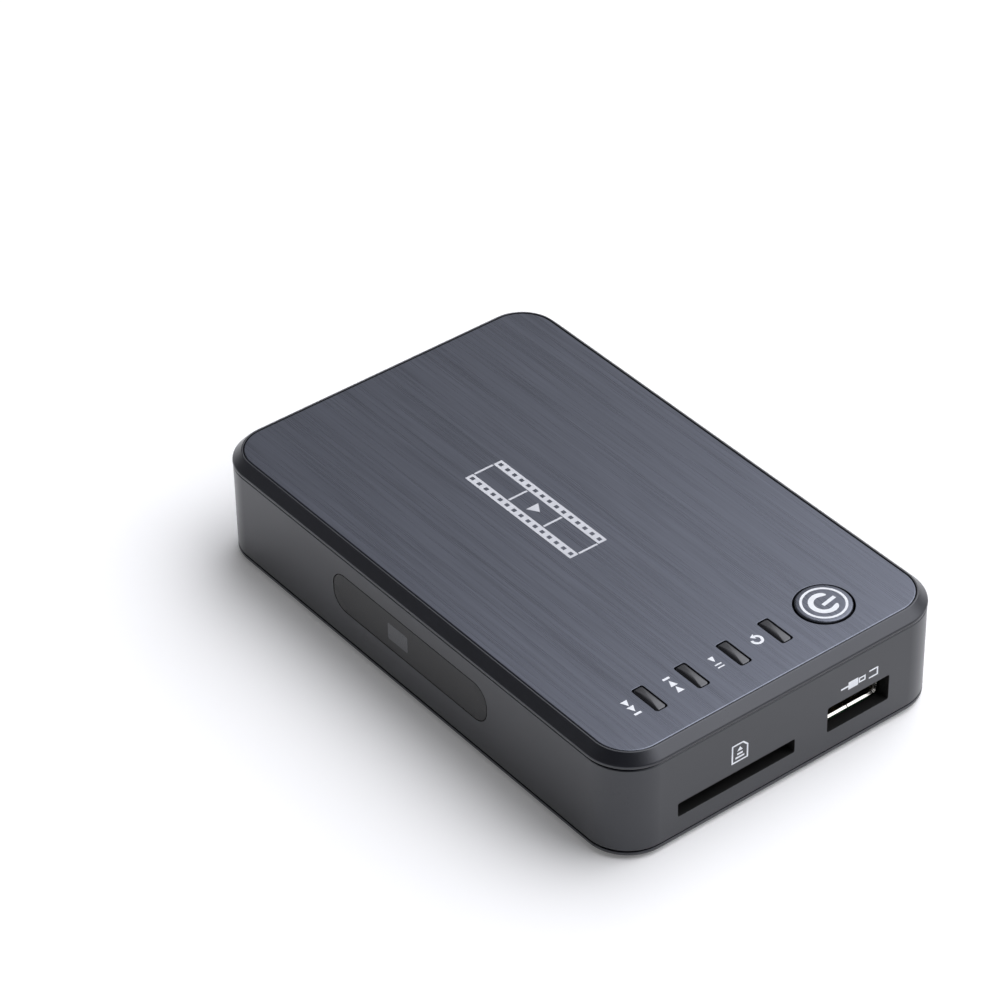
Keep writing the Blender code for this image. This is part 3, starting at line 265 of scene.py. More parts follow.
def soft_profile(corners, closed=False, steps=EDGE_STEPS):
    """Profile through (offset, level, radius) corners, each replaced by an arc that touches both of its sides.
    The arc's centre lies on the bisector, at the radius over the sine of half the corner's angle."""
    corners = np.asarray(corners, float)
    point = corners[:, :2]
    radius = corners[:, 2:]
    back = np.roll(point, 1, axis=0) - point
    ahead = np.roll(point, -1, axis=0) - point
    back /= np.linalg.norm(back, axis=1)[:, None]
    ahead /= np.linalg.norm(ahead, axis=1)[:, None]
    bisector = back + ahead
    bisector /= np.maximum(np.linalg.norm(bisector, axis=1), HAIR)[:, None]
    half = np.arccos(np.clip((back * bisector).sum(axis=1), -1.0, 1.0))[:, None]
    centre = point + bisector * radius / np.sin(half)
    start = point + back * radius / np.tan(half) - centre
    end = point + ahead * radius / np.tan(half) - centre
    turn = np.maximum(np.pi - 2 * half, HAIR)
    share = np.linspace(0.0, 1.0, steps + 1)
    from_start = (np.sin((1 - share) * turn) / np.sin(turn))[..., None]
    from_end = (np.sin(share * turn) / np.sin(turn))[..., None]
    arcs = centre[:, None] + from_start * start[:, None] + from_end * end[:, None]
    if closed:
        return arcs.reshape(-1, 2)
    return np.concatenate([point[:1], arcs[1:-1].reshape(-1, 2), point[-1:]])


def swept(outline, profile, axis="z", at=(0.0, 0.0, 0.0)):
    """Grid of points: for each profile point a ring, which is the outline moved out by the offset and set at
    the level along the axis."""
    centres, directions, radius = outline
    profile = np.asarray(profile, float)
    flat = centres + (radius + profile[:, 0])[:, None, None] * directions
    level = np.broadcast_to(profile[:, 1][:, None], flat.shape[:2])
    u, v = flat[..., 0], flat[..., 1]
    order = {"z": (u, v, level), "y": (u, level, v), "x": (level, u, v)}[axis]
    return np.stack(order, axis=-1) + np.asarray(at, float)


def shell(points, closed=False):
    """Closed surface on a grid of rings: a quad between each two neighbours, and a flat cap on each end unless
    the last ring joins the first. It is turned so that its signed volume is above zero."""
    rings, around = points.shape[:2]
    index = np.arange(rings * around).reshape(rings, around)
    low = index if closed else index[:-1]
    high = np.roll(index, -1, axis=0) if closed else index[1:]
    quads = np.stack([low, np.roll(low, -1, axis=1), np.roll(high, -1, axis=1), high], axis=-1).reshape(-1, 4)
    vertices = points.reshape(-1, 3)
    a, b, c, d = (vertices[quads[:, corner]] for corner in range(4))
    volume = (a * (np.cross(b, c) + np.cross(c, d))).sum()
    faces = quads.tolist()
    if not closed:
        for ring in (points[0, ::-1], points[-1]):
            volume += (ring[0] * np.cross(ring, np.roll(ring, -1, axis=0))).sum()
        faces += [index[0, ::-1].tolist(), index[-1].tolist()]
    if volume < 0:
        faces = [face[::-1] for face in faces]
    return vertices, faces


def prism(outline, low, high, axis="z", at=(0.0, 0.0, 0.0)):
    """Closed surface of an outline carried straight along an axis."""
    return shell(swept(outline, [(0.0, low), (0.0, high)], axis, at))


def posts_at(places, radius, steps, low, high):
    """Round posts, or cutters for round holes, from one level to another at each place."""
    return [prism(circle(radius, steps), low, high, at=(p.x, p.y, 0)) for p in places]


def rod(outline, low, high, rounds, axis="z", at=(0.0, 0.0, 0.0), inset=0.001):
    """Closed surface of an outline carried straight along an axis, with its two end edges round."""
    profile = soft_profile([(-inset, low, 0.0), (0.0, low, rounds[0]), (0.0, high, rounds[1]), (-inset, high, 0.0)])
    return shell(swept(outline, profile, axis, at))


def raw_object(name, shells):
    """An object that holds the given closed surfaces."""
    starts = np.cumsum([0] + [len(vertices) for vertices, _ in shells])
    faces = [(np.array(face) + start).tolist() for (_, made), start in zip(shells, starts) for face in made]
    mesh = bpy.data.meshes.new(name)
    mesh.from_pydata(np.concatenate([vertices for vertices, _ in shells]).tolist(), [], faces)
    mesh.update()
    obj = bpy.data.objects.new(name, mesh)
    bpy.context.scene.collection.objects.link(obj)
    return obj


def combine(obj, operation, shells, material=None):
    """Cut the surfaces out of a piece or join them to it, and keep the result as its mesh. Faces that a cut
    leaves take the cutter's material."""
    tool = raw_object("tool", shells)
    modifier = obj.modifiers.new("tool", "BOOLEAN")
    modifier.operation = operation
    modifier.solver = "EXACT"
    modifier.object = tool
    if material:
        tool.data.materials.append(material)
        modifier.material_mode = "TRANSFER"
    bpy.context.view_layer.update()
    graph = bpy.context.evaluated_depsgraph_get()
    mesh = bpy.data.meshes.new_from_object(obj.evaluated_get(graph), depsgraph=graph)
    obj.modifiers.clear()
    before, obj.data = obj.data, mesh
    mesh.name = obj.name
    bpy.data.meshes.remove(before)
    bpy.data.meshes.remove(tool.data)


def finish_piece(obj, body, nodes=()):
    """Shade a piece smooth up to its sharp edges, put it under its body's empty, and hide the imported nodes it
    stands for.
    """
    obj.data.shade_smooth()
    obj.data.set_sharp_from_angle(angle=SHARP_ANGLE)
    weights = obj.modifiers.new("Flat faces", "WEIGHTED_NORMAL")
    weights.keep_sharp = True
    weights.weight = 80
    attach(obj, body)
    if nodes:
        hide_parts(*nodes)
    return obj


def start_piece(name, shells, slot, material=None):
    """A piece from closed surfaces, before its cuts, with its slot's finish or with the given material."""
    obj = raw_object(name, shells)
    obj.data.materials.append(material or finish_of(slot))
    return obj


def make_piece(name, shells, body, slot, nodes=(), material=None):
    """A finished piece from closed surfaces, without cuts."""
    return finish_piece(start_piece(name, shells, slot, material), body, nodes)


def make_print(name, shells, body, slot):
    """A print in white ink."""
    return make_piece(name, shells, body, slot, material=white_ink())


def cut(obj, shells):
    """Cut the surfaces out of a piece, and give the faces there a darker, duller plastic: bare inner plastic, with
    painted shade for the openings' recesses.
    """
    combine(obj, "DIFFERENCE", shells, finish_of("inside_plastic_and_shade"))


class Nodes:
    """Short ways to add and join the nodes of a material or world."""

    def __init__(self, holder):
        holder.use_nodes = True
        self.tree = holder.node_tree

    def add(self, kind, **values):
        """A node, with values for its properties."""
        made = self.tree.nodes.new(kind)
        for key, value in values.items():
            setattr(made, key, value)
        return made

    def join(self, source, target):
        """Link an output to an input."""
        self.tree.links.new(source, target)

    def spread(self, source, low, high, start=0.3, end=0.7, kind="LINEAR"):
        """A factor between two values, mapped to a range."""
        chart = self.add("ShaderNodeMapRange", interpolation_type=kind)
        for key, value in (("From Min", start), ("From Max", end), ("To Min", low), ("To Max", high)):
            chart.inputs[key].default_value = value
        self.join(source, chart.inputs["Value"])
        return chart.outputs["Result"]

    def math(self, operation, first, second):
        """Arithmetic on two factors, or on a factor and a number."""
        made = self.add("ShaderNodeMath", operation=operation)
        for value, socket in ((first, made.inputs[0]), (second, made.inputs[1])):
            if isinstance(value, bpy.types.NodeSocket):
                self.join(value, socket)
            else:
                socket.default_value = value
        return made.outputs["Value"]


class Graph(Nodes):
    """A material's nodes, with short ways to vary its look over the piece."""

    def __init__(self, name):
        self.material = bpy.data.materials.new(f"{name}_finish")
        super().__init__(self.material)
        self.shader = self.tree.nodes["Principled BSDF"]
        self.place = self.add("ShaderNodeTexCoord").outputs["Object"]

    def stretched(self, scale):
        """Object coordinates, scaled along each axis."""
        mapping = self.add("ShaderNodeMapping")
        mapping.inputs["Scale"].default_value = scale
        self.join(self.place, mapping.inputs["Vector"])
        return mapping.outputs["Vector"]

    def noise(self, size, detail=3.0, roughness=0.55, vector=None):
        """Noise whose patches are about one size across."""
        texture = self.add("ShaderNodeTexNoise")
        texture.inputs["Scale"].default_value = 1.0 / size
        texture.inputs["Detail"].default_value = detail
        texture.inputs["Roughness"].default_value = roughness
        self.join(vector or self.place, texture.inputs["Vector"])
        return texture.outputs["Fac"]

    def blend(self, factor, first, second):
        """Two colours mixed by a factor."""
        mix = self.add("ShaderNodeMix", data_type="RGBA")
        self.join(factor, mix.inputs["Factor"])
        for value, socket in ((first, mix.inputs["A"]), (second, mix.inputs["B"])):
            if isinstance(value, bpy.types.NodeSocket):
                self.join(value, socket)
            else:
                socket.default_value = (*value, 1.0)
        return mix.outputs["Result"]

    def bump(self, height, distance, strength=1.0, under=None):
        """A bump whose height runs over a real distance, on top of another if there is one."""
        made = self.add("ShaderNodeBump")
        made.inputs["Strength"].default_value = strength
        made.inputs["Distance"].default_value = distance
        self.join(height, made.inputs["Height"])
        if under:
            self.join(under, made.inputs["Normal"])
        return made.outputs["Normal"]

    def finish(self, colour_socket, roughness_socket, normal_socket, **constants):
        """Join the three varying inputs, and set the constant ones on the shader itself."""
        self.join(colour_socket, self.shader.inputs["Base Color"])
        self.join(roughness_socket, self.shader.inputs["Roughness"])
        self.join(normal_socket, self.shader.inputs["Normal"])
        for key, value in constants.items():
            self.shader.inputs[key].default_value = value
        return self.material


def shaded(base, share):
    """A colour made darker or lighter by a share."""
    return tuple(min(1.0, channel * share) for channel in base)


def grained(name, base, vary=(0.85, 1.15), rough=(0.4, 0.5), grain=0.00025, depth=0.000006,
            mottle=0.012, stretch=(1.0, 1.0, 1.0), constants=None):
    """A moulded, cast or rolled finish: broad mottle varies the colour, fine grain the roughness and the bump."""
    graph = Graph(name)
    vector = graph.stretched(stretch)
    broad = graph.noise(mottle, 4.0, 0.6, vector)
    fine = graph.noise(grain, 2.0, 0.5, vector)
    both = graph.math("ADD", graph.math("MULTIPLY", broad, 0.6), graph.math("MULTIPLY", fine, 0.4))
    tone = graph.blend(graph.spread(both, 0.0, 1.0, 0.35, 0.65), shaded(base, vary[0]), shaded(base, vary[1]))
    return graph.finish(tone, graph.spread(both, *rough), graph.bump(fine, depth), **(constants or {}))


def case_plastic():
    """Satin painted plastic: very fine orange peel and a faint cloudy tone."""
    base = tuple(bpy.context.scene.player_colours.case)
    return grained("case_plastic", base, (0.88, 1.12), (0.27, 0.33), 0.00022, 0.0000012, 0.016,
                   constants={"IOR": 1.65, "Specular Tint": (0.93, 0.95, 1.0, 1.0)})


def inside_plastic_and_shade():
    """Bare dark plastic of the openings' inner faces, darker and duller than the case, so that it also paints in the
    shade of the recesses.
    """
    base = tuple(bpy.context.scene.player_colours.inside)
    return grained("inside_plastic_and_shade", base, (0.7, 1.3), (0.65, 0.8), 0.0003, 0.000008, 0.004,
                   constants={"IOR": 1.3})


def brushed_metal():
    """Brushed plate: streaks of four widths along X vary its tone, roughness and bump."""
    base = tuple(bpy.context.scene.player_colours.plate)
    graph = Graph("brushed_plate")
    fine = graph.noise(0.00016, 2.0, 0.6, graph.stretched((0.010, 1.0, 1.0)))
    middling = graph.noise(0.0007, 3.0, 0.6, graph.stretched((0.016, 1.0, 1.0)))
    broad = graph.noise(0.006, 3.0, 0.5, graph.stretched((0.12, 1.0, 1.0)))
    long = graph.noise(0.0013, 2.0, 0.5, graph.stretched((0.045, 1.0, 1.0)))
    streak = graph.math("ADD", graph.math("MULTIPLY", fine, 0.40), graph.math("MULTIPLY", middling, 0.60))
    tone = graph.blend(graph.spread(streak, 0.0, 1.0, 0.36, 0.64), shaded(base, 0.80), shaded(base, 1.18))
    lined = graph.blend(graph.spread(long, 0.0, 0.55, 0.56, 0.72), tone, shaded(base, 0.70))
    cloudy = graph.blend(graph.spread(broad, 0.0, 0.35, 0.3, 0.7), lined, shaded(base, 1.05))
    normal = graph.bump(fine, 0.0000025, 1.0, graph.bump(middling, 0.0000040))
    tangent = graph.add("ShaderNodeTangent", direction_type="UV_MAP")
    graph.join(tangent.outputs["Tangent"], graph.shader.inputs["Tangent"])
    return graph.finish(cloudy, graph.spread(streak, 0.24, 0.34), normal, Metallic=0.94, Anisotropic=0.70)


def gloss_black():
    """Polished dark plastic of the keys, with faint hairlines."""
    base = tuple(bpy.context.scene.player_colours.key)
    return grained("gloss_key", base, (0.8, 1.2), (0.20, 0.27), 0.0004, 0.0000006, 0.003, (0.2, 1.0, 1.0),
                   {"IOR": 1.62, "Specular Tint": (0.93, 0.95, 1.0, 1.0), "Coat Weight": 0.3, "Coat Roughness": 0.12})


def window_acrylic():
    """Dark tinted acrylic of the receiver window."""
    base = tuple(bpy.context.scene.player_colours.window)
    return grained("window_acrylic", base, (0.9, 1.1), (0.16, 0.22), 0.0006, 0.0000008, 0.01,
                   constants={"IOR": 1.37})


def print_ink(name, base):
    """Screen-printed ink: slightly uneven cover and a dry, faintly rough face."""
    return grained(name, base, (0.90, 1.03), (0.42, 0.58), 0.00012, 0.0000020, 0.0008,
                   constants={"IOR": 1.45})


def board_laminate():
    """Solder mask over copper: a grid of traces shows as raised, lighter lines."""
    graph = Graph("board_laminate")
    lines = graph.add("ShaderNodeTexBrick")
    lines.inputs["Scale"].default_value = 260.0
    lines.inputs["Mortar Size"].default_value = 0.05
    lines.inputs["Color1"].default_value = (0.010, 0.075, 0.030, 1.0)
    lines.inputs["Color2"].default_value = (0.014, 0.095, 0.040, 1.0)
    lines.inputs["Mortar"].default_value = (0.030, 0.170, 0.070, 1.0)
    graph.join(graph.place, lines.inputs["Vector"])
    weave = graph.noise(0.0006, 3.0)
    tone = graph.blend(graph.spread(weave, 0.0, 0.4), lines.outputs["Color"], (0.006, 0.050, 0.020))
    normal = graph.bump(weave, 0.000004, 0.6, graph.bump(lines.outputs["Fac"], 0.00003))
    return graph.finish(tone, graph.spread(weave, 0.28, 0.45), normal, IOR=1.5)


def ribbon_film():
    """Flat cable: blue-white film over parallel conductors that run with the cable."""
    graph = Graph("ribbon_film")
    wires = graph.add("ShaderNodeTexWave", wave_type="BANDS", bands_direction="Y")
    wires.inputs["Scale"].default_value = 320.0
    graph.join(graph.place, wires.inputs["Vector"])
    tone = graph.blend(graph.spread(wires.outputs["Fac"], 0.0, 1.0, 0.4, 0.6), (0.72, 0.74, 0.76), (0.42, 0.44, 0.48))
    haze = graph.noise(0.002)
    return graph.finish(tone, graph.spread(haze, 0.25, 0.42), graph.bump(wires.outputs["Fac"], 0.00004), IOR=1.5)


PLAIN_FINISHES = {
    "insulator": ((0.012, 0.012, 0.013), (0.8, 1.2), (0.42, 0.55), 0.0003, 0.000005, 0.004, {"IOR": 1.5}),
    "foot_rubber": ((0.022, 0.022, 0.022), (0.75, 1.3), (0.75, 0.92), 0.0002, 0.000014, 0.003, {"IOR": 1.45}),
    "nickel_sheet": ((0.62, 0.60, 0.55), (0.85, 1.08), (0.14, 0.26), 0.0008, 0.000002, 0.004, {"Metallic": 1.0}),
    "gold_contact": ((0.83, 0.58, 0.20), (0.85, 1.1), (0.15, 0.28), 0.0004, 0.000002, 0.002, {"Metallic": 1.0}),
    "screw_steel": ((0.30, 0.30, 0.31), (0.75, 1.15), (0.26, 0.42), 0.0002, 0.000004, 0.001, {"Metallic": 1.0}),
    "steel_sheet": ((0.46, 0.46, 0.47), (0.82, 1.1), (0.24, 0.38), 0.0005, 0.000003, 0.005, {"Metallic": 1.0}),
    "chip_epoxy": ((0.018, 0.018, 0.020), (0.8, 1.25), (0.5, 0.68), 0.00015, 0.000010, 0.003, {"IOR": 1.5}),
    "thermal_pad": ((0.36, 0.40, 0.46), (0.85, 1.1), (0.7, 0.88), 0.0004, 0.000020, 0.003, {"IOR": 1.4}),
    "bare_aluminium": ((0.62, 0.63, 0.64), (0.82, 1.06), (0.28, 0.44), 0.0003, 0.000005, 0.004, {"Metallic": 1.0}),
    "ferrite": ((0.045, 0.045, 0.047), (0.75, 1.3), (0.6, 0.8), 0.00012, 0.000014, 0.002, {"IOR": 1.6}),
    "clear_epoxy": ((0.70, 0.75, 0.70), (0.92, 1.04), (0.10, 0.18), 0.001, 0.000002, 0.003,
                    {"IOR": 1.53, "Transmission Weight": 0.6}),
    "ivory_plastic": ((0.70, 0.66, 0.56), (0.9, 1.05), (0.38, 0.5), 0.0003, 0.000004, 0.003, {"IOR": 1.5}),
}


def plain_finish(slot):
    """One of the finishes that differ only in their values."""
    base, vary, rough, grain, depth, mottle, constants = PLAIN_FINISHES[slot]
    return grained(slot, base, vary, rough, grain, depth, mottle, constants=constants)


SPECIAL_FINISHES = {
    "case_plastic": case_plastic,
    "inside_plastic_and_shade": inside_plastic_and_shade,
    "brushed_plate": brushed_metal,
    "gloss_key": gloss_black,
    "window_acrylic": window_acrylic,
    "board_laminate": board_laminate,
    "ribbon_film": ribbon_film,
}


def finish_of(slot):
    """The finish of a slot, made on its first use."""
    found = bpy.data.materials.get(f"{slot}_finish")
    if found:
        return found
    return SPECIAL_FINISHES[slot]() if slot in SPECIAL_FINISHES else plain_finish(slot)


def lay_uv(obj):
    """UV map with U along Y and V along X, so that the tangent, the rougher way, lies across the brushing."""
    mesh = obj.data
    corners = np.empty(len(mesh.loops), np.int32)
    mesh.loops.foreach_get("vertex_index", corners)
    places = np.empty(len(mesh.vertices) * 3, np.float32)
    mesh.vertices.foreach_get("co", places)
    layer = mesh.uv_layers.new(name="brushing")
    layer.data.foreach_set("uv", (places.reshape(-1, 3)[corners, 1::-1] * 10.0).ravel())


def case_outline():
    """Outline of the wall's outer face."""
    size = bpy.context.scene.player_sizes
    return round_rectangle(size.half_length, size.half_width, size.corner, CORNER_STEPS)


def wall_outline():
    """Outline of the wall's outer face, a little outside the base outline but with the same corners."""
    size = bpy.context.scene.player_sizes
    proud = size.wall_proud
    return round_rectangle(size.half_length + proud, size.half_width + proud, size.corner, CORNER_STEPS)


def key_places():
    """Centre of each key, and of the button."""
    return {name: middle(box) for name, box in (*KEYS.items(), ("power", BUTTON))}


def flared(outline, low, high, flare, at, axis="z"):
    """A cutter that widens in a quarter arc at its upper end, so that the edge it leaves there is round."""
    lip = high + HAIR
    profile = soft_profile([(0.0, low, 0.0), (0.0, lip, flare), (flare * 1.5, lip, flare * 0.2),
                            (flare * 1.5, lip + OVERRUN, 0.0)], steps=4)
    return shell(swept(outline, profile, axis, at))


class PLAYER_OT_bottom_cover(bpy.types.Operator):
    """Bottom cover with its posts, screw seats, foot seats and vent slots"""

    bl_idname = "player.bottom_cover"
    bl_label = "Bottom cover"

    def execute(self, context):
        size = context.scene.player_sizes
        base, floor_top = FLOOR[0].z, BOARD[0].z - STANDOFF
        edge_top = base + size.floor_edge
        seat = -size.wall - size.wall_proud - FIT
        deep = seat - 0.0040
        profile = soft_profile([
            (deep, base, 0.0), (0.0, base, size.floor_round), (0.0, edge_top, 0.00014),
            (seat, edge_top, 0.00005), (seat, floor_top, 0.00015), (deep, floor_top, 0.0)])
        obj = start_piece("bottom_cover_skin", [shell(swept(wall_outline(), profile))], "case_plastic")
        screws = middles("case_screw", 4)
        post_top = FLOOR[1].z
        combine(obj, "UNION", posts_at(screws, POST_RADIUS, 48, floor_top - 0.0009, post_top))
        below = base - OVERRUN
        cutters = posts_at(screws, HEAD_SEAT[0], 48, below, base + HEAD_SEAT[1])
        cutters += posts_at(middles("foot", 4), FOOT_SEAT[0], 64, below, base + FOOT_SEAT[1])
        slot = round_rectangle(*VENT)
        cutters += [shell(swept(slot, soft_profile([
            (0.0004, below, 0.0), (0.0004, base - HAIR, 0.00005), (0.0, base - HAIR, 0.0002),
            (0.0, floor_top + OVERRUN, 0.0)]), at=(place * VENT_PITCH, 0, 0)))
                    for place in range(-(VENT_COUNT // 2), VENT_COUNT // 2 + 1)]
        cut(obj, cutters)
        cut(obj, posts_at(screws, SCREW_HOLE, 32, base + HEAD_SEAT[1] / 2, post_top + OVERRUN))
        finish_piece(obj, "root", ["bottom_cover"])
        return {"FINISHED"}


class PLAYER_OT_case_body(bpy.types.Operator):
    """Wall ring with its window seat and the openings for the sockets"""

    bl_idname = "player.case_body"
    bl_label = "Case body"

    def execute(self, context):
        size = context.scene.player_sizes
        low, high = WALLS[0].z - 0.0001, WALLS[1].z + 0.0002
        edge = size.wall_round
        inner = -size.wall - size.wall_proud
        profile = soft_profile([(0.0, low, edge), (0.0, high, edge), (inner, high, 0.0001), (inner, low, 0.0001)],
                               closed=True)
        obj = start_piece("case_body_skin", [shell(swept(wall_outline(), profile), closed=True)], "case_plastic")
        self.cut_end(obj, size)
        self.cut_window(obj, size)
        self.cut_back(obj, size)
        finish_piece(obj, "root", ["case_body"])
        return {"FINISHED"}

    def cut_end(self, obj, size):
        """Card slot and the host socket's opening, in the +X wall."""
        inner, outer = size.half_length - size.wall - OVERRUN, size.half_length + size.wall_proud
        cut(obj, [flared(round_rectangle(half_u, half_v, corner, 4), inner, outer, OPENING_FLARE, (0, y, z), "x")
                  for half_u, half_v, corner, y, z in (CARD_OPENING, HOST_OPENING)])

    def cut_window(self, obj, size):
        """Seat of the receiver window in the -Y wall, and the smaller opening behind it."""
        centre = middle(WINDOW)
        half_x, half_z = (WINDOW[1].x - WINDOW[0].x) / 2, (WINDOW[1].z - WINDOW[0].z) / 2
        gap, ledge, corner = 0.00015, 0.0016, WINDOW_CORNER
        front, back = -size.half_width - size.wall_proud, WINDOW[1].y + FIT
        seat = round_rectangle(half_x + gap, half_z + gap, corner + gap, 16)
        through = round_rectangle(half_x - ledge, half_z - ledge, corner - ledge)
        at = (0, 0, centre.z)
        cut(obj, [prism(seat, front - OVERRUN, back, "y", at)])
        cut(obj, [prism(through, front - OVERRUN, front + size.wall + 2 * OVERRUN, "y", at)])

    def cut_back(self, obj, size):
        """Openings for the three sockets in the +Y wall."""
        inner, outer = size.half_width - size.wall - OVERRUN, size.half_width + size.wall_proud
        video, sound, power = middle(VIDEO_SHELL), middle(SOUND_JACK), middle(POWER_JACK)
        places = ((video_outline(FIT), video), (circle(0.0030, 64), sound), (circle(0.0035, 64), power))
        cut(obj, [flared(outline, inner, outer, OPENING_FLARE, (p.x, 0, p.z), "y") for outline, p in places])


def video_outline(margin):
    """Outline of the video socket about its centre: a rectangle whose two lower corners are cut off."""
    half_x = (VIDEO_SHELL[1].x - VIDEO_SHELL[0].x) / 2 + margin
    half_z = (VIDEO_SHELL[1].z - VIDEO_SHELL[0].z) / 2 + margin
    cut = 0.0014
    return mitred([(half_x, half_z), (-half_x, half_z), (-half_x, cut - half_z), (cut - half_x, -half_z),
                   (half_x - cut, -half_z), (half_x, cut - half_z)])


class PLAYER_OT_top_cover(bpy.types.Operator):
    """Lid with its sloped shoulder, the plate's recess, its tongue and its posts"""

    bl_idname = "player.top_cover"
    bl_label = "Top cover"

    def execute(self, context):
        size = context.scene.player_sizes
        top = PLATE[1].z
        bottom = top - size.shoulder
        recess = PLATE[0].z - FIT
        panel = recess - size.panel
        outer = -size.wall - FIT
        inner = outer - size.tongue
        overhang = COVER[1].x - size.half_length
        rim = size.rim - size.plate_inset
        deep = inner - 0.0030
        profile = soft_profile([
            (deep, panel, 0.0), (inner, panel, 0.0002), (inner, bottom - size.tongue_depth, 0.00015),
            (outer, bottom - size.tongue_depth, 0.00015), (outer, bottom, 0.00010),
            (overhang, bottom, size.shoulder_round), (overhang, bottom + size.shoulder_band, size.shoulder_break),
            (rim, top, 0.00016), (-size.plate_inset, top, 0.00006), (-size.plate_inset, recess, 0.00008),
            (deep, recess, 0.0)], steps=7)
        obj = start_piece("top_cover_skin", [shell(swept(case_outline(), profile))], "case_plastic")
        self.add_posts(obj, panel)
        cutters = [prism(key_opening(size), panel - OVERRUN, recess + OVERRUN, at=(p.x, p.y, 0))
                   for name, p in key_places().items() if name != "power"]
        power = key_places()["power"]
        cutters.append(prism(circle(size.power_opening), panel - OVERRUN, recess + OVERRUN, at=(power.x, power.y, 0)))
        cut(obj, cutters)
        finish_piece(obj, "root", ["top_cover"])
        return {"FINISHED"}

    def add_posts(self, obj, panel):
        """Four long posts for the case screws and two short ones for the key board's."""
        screws, short = middles("case_screw", 4), middles("key_board_screw", 2)
        low, short_low = COVER[0].z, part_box("key_board")[1].z + FIT
        joined = panel + 0.0006
        combine(obj, "UNION", posts_at(screws, POST_RADIUS, 48, low, joined)
                + posts_at(short, SHORT_POST_RADIUS, 32, short_low, joined))
        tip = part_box("case_screw_1")[1].z + OVERRUN
        short_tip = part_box("key_board_screw_1")[1].z + FIT
        combine(obj, "DIFFERENCE", posts_at(screws, SCREW_HOLE, 32, low - OVERRUN, tip)
                + posts_at(short, SHORT_SCREW_HOLE, 24, short_low - OVERRUN, short_tip))


def key_opening(size):
    """Outline of a key's opening about its centre."""
    return round_rectangle(size.key_length / 2, size.key_width / 2, size.key_corner)


class PLAYER_OT_top_plate(bpy.types.Operator):
    """Brushed plate with softly broken edges round it and round its openings"""

    bl_idname = "player.top_plate"
    bl_label = "Top plate"

    def execute(self, context):
        size = context.scene.player_sizes
        low, high = PLATE[0].z, PLATE[1].z
        edge = -size.plate_inset - size.plate_gap
        deep = edge - 0.0030
        profile = soft_profile([(deep, low, 0.0), (edge, low, 0.00006), (edge, high, size.plate_edge),
                                (deep, high, 0.0)], steps=7)
        obj = start_piece("top_plate_skin", [shell(swept(case_outline(), profile))], "brushed_plate")
        cutters = [flared(key_opening(size) if name != "power" else circle(size.power_opening),
                          low - OVERRUN, high, size.opening_edge, (p.x, p.y, 0))
                   for name, p in key_places().items()]
        combine(obj, "DIFFERENCE", cutters)
        lay_uv(obj)
        finish_piece(obj, "root", ["top_plate"])
        return {"FINISHED"}


class PLAYER_OT_window(bpy.types.Operator):
    """Receiver window with a softly broken edge, and the lighter patch over its receiver"""

    bl_idname = "player.window"
    bl_label = "Receiver window"

    def execute(self, context):
        centre = middle(WINDOW)
        half_x, half_z = (WINDOW[1].x - WINDOW[0].x) / 2, (WINDOW[1].z - WINDOW[0].z) / 2
        outline = round_rectangle(half_x, half_z, WINDOW_CORNER, 16)
        front = WINDOW[0].y - context.scene.player_sizes.wall_proud
        pane = rod(outline, front, WINDOW[1].y, (0.00012, 0.00008), "y", (centre.x, 0, centre.z), 0.002)
        make_piece("window_pane", [pane], "root", "window_acrylic", ["receiver_window"])
        patch = prism(round_rectangle(*PATCH), front - 0.00001, front + 0.00004, "y", PATCH_PLACE)
        tint = grained("receiver_tint", (0.024, 0.027, 0.034), (0.9, 1.1), (0.2, 0.3), 0.0004, 0.000001, 0.003,
                       constants={"IOR": 1.72})
        make_piece("receiver_patch", [patch], "root", "window_acrylic", material=tint)
        return {"FINISHED"}


class PLAYER_OT_keys(bpy.types.Operator):
    """Four glossy keys with crowned tops, each on its flange"""

    bl_idname = "player.keys"
    bl_label = "Keys"

    def execute(self, context):
        size = context.scene.player_sizes
        half_x = size.key_length / 2 - size.key_gap
        half_y = size.key_width / 2 - size.key_gap
        outline = round_rectangle(half_x, half_y, size.key_corner)
        for name, box in KEYS.items():
            centre = middle(box)
            low, top = box[0].z, box[1].z
            flange = box[1].x - centre.x - half_x
            flange_top = low + FLANGE
            edge = 0.00030
            profile = soft_profile([
                (0.0, low, 0.0), (flange, low, 0.0001), (flange, flange_top, 0.0001), (0.0, flange_top, 0.00005),
                (0.0, top, edge), (-edge * 1.05, top, 0.0)])
            grid = swept(outline, profile)
            share = np.linspace(1.0, 0.02, TOP_RINGS)[1:, None, None]
            crown = grid[-1] * (share * (1, 1, 0) + (0, 0, 1))
            grid = np.concatenate([grid, crown])
            lift = np.clip((grid[..., 2] - flange_top) / (top - flange_top), 0.0, 1.0)
            near = np.clip(-grid[..., 1] / half_y, 0.0, 1.0)
            grid[..., 2] -= lift * size.key_crown * ((grid[..., 0] / half_x) ** 2 + near ** 3)
            grid += (centre.x, centre.y, 0.0)
            make_piece(f"{name}_key_cap", [shell(grid)], f"{name}_key_moving", "gloss_key", [f"{name}_key"])
        return {"FINISHED"}


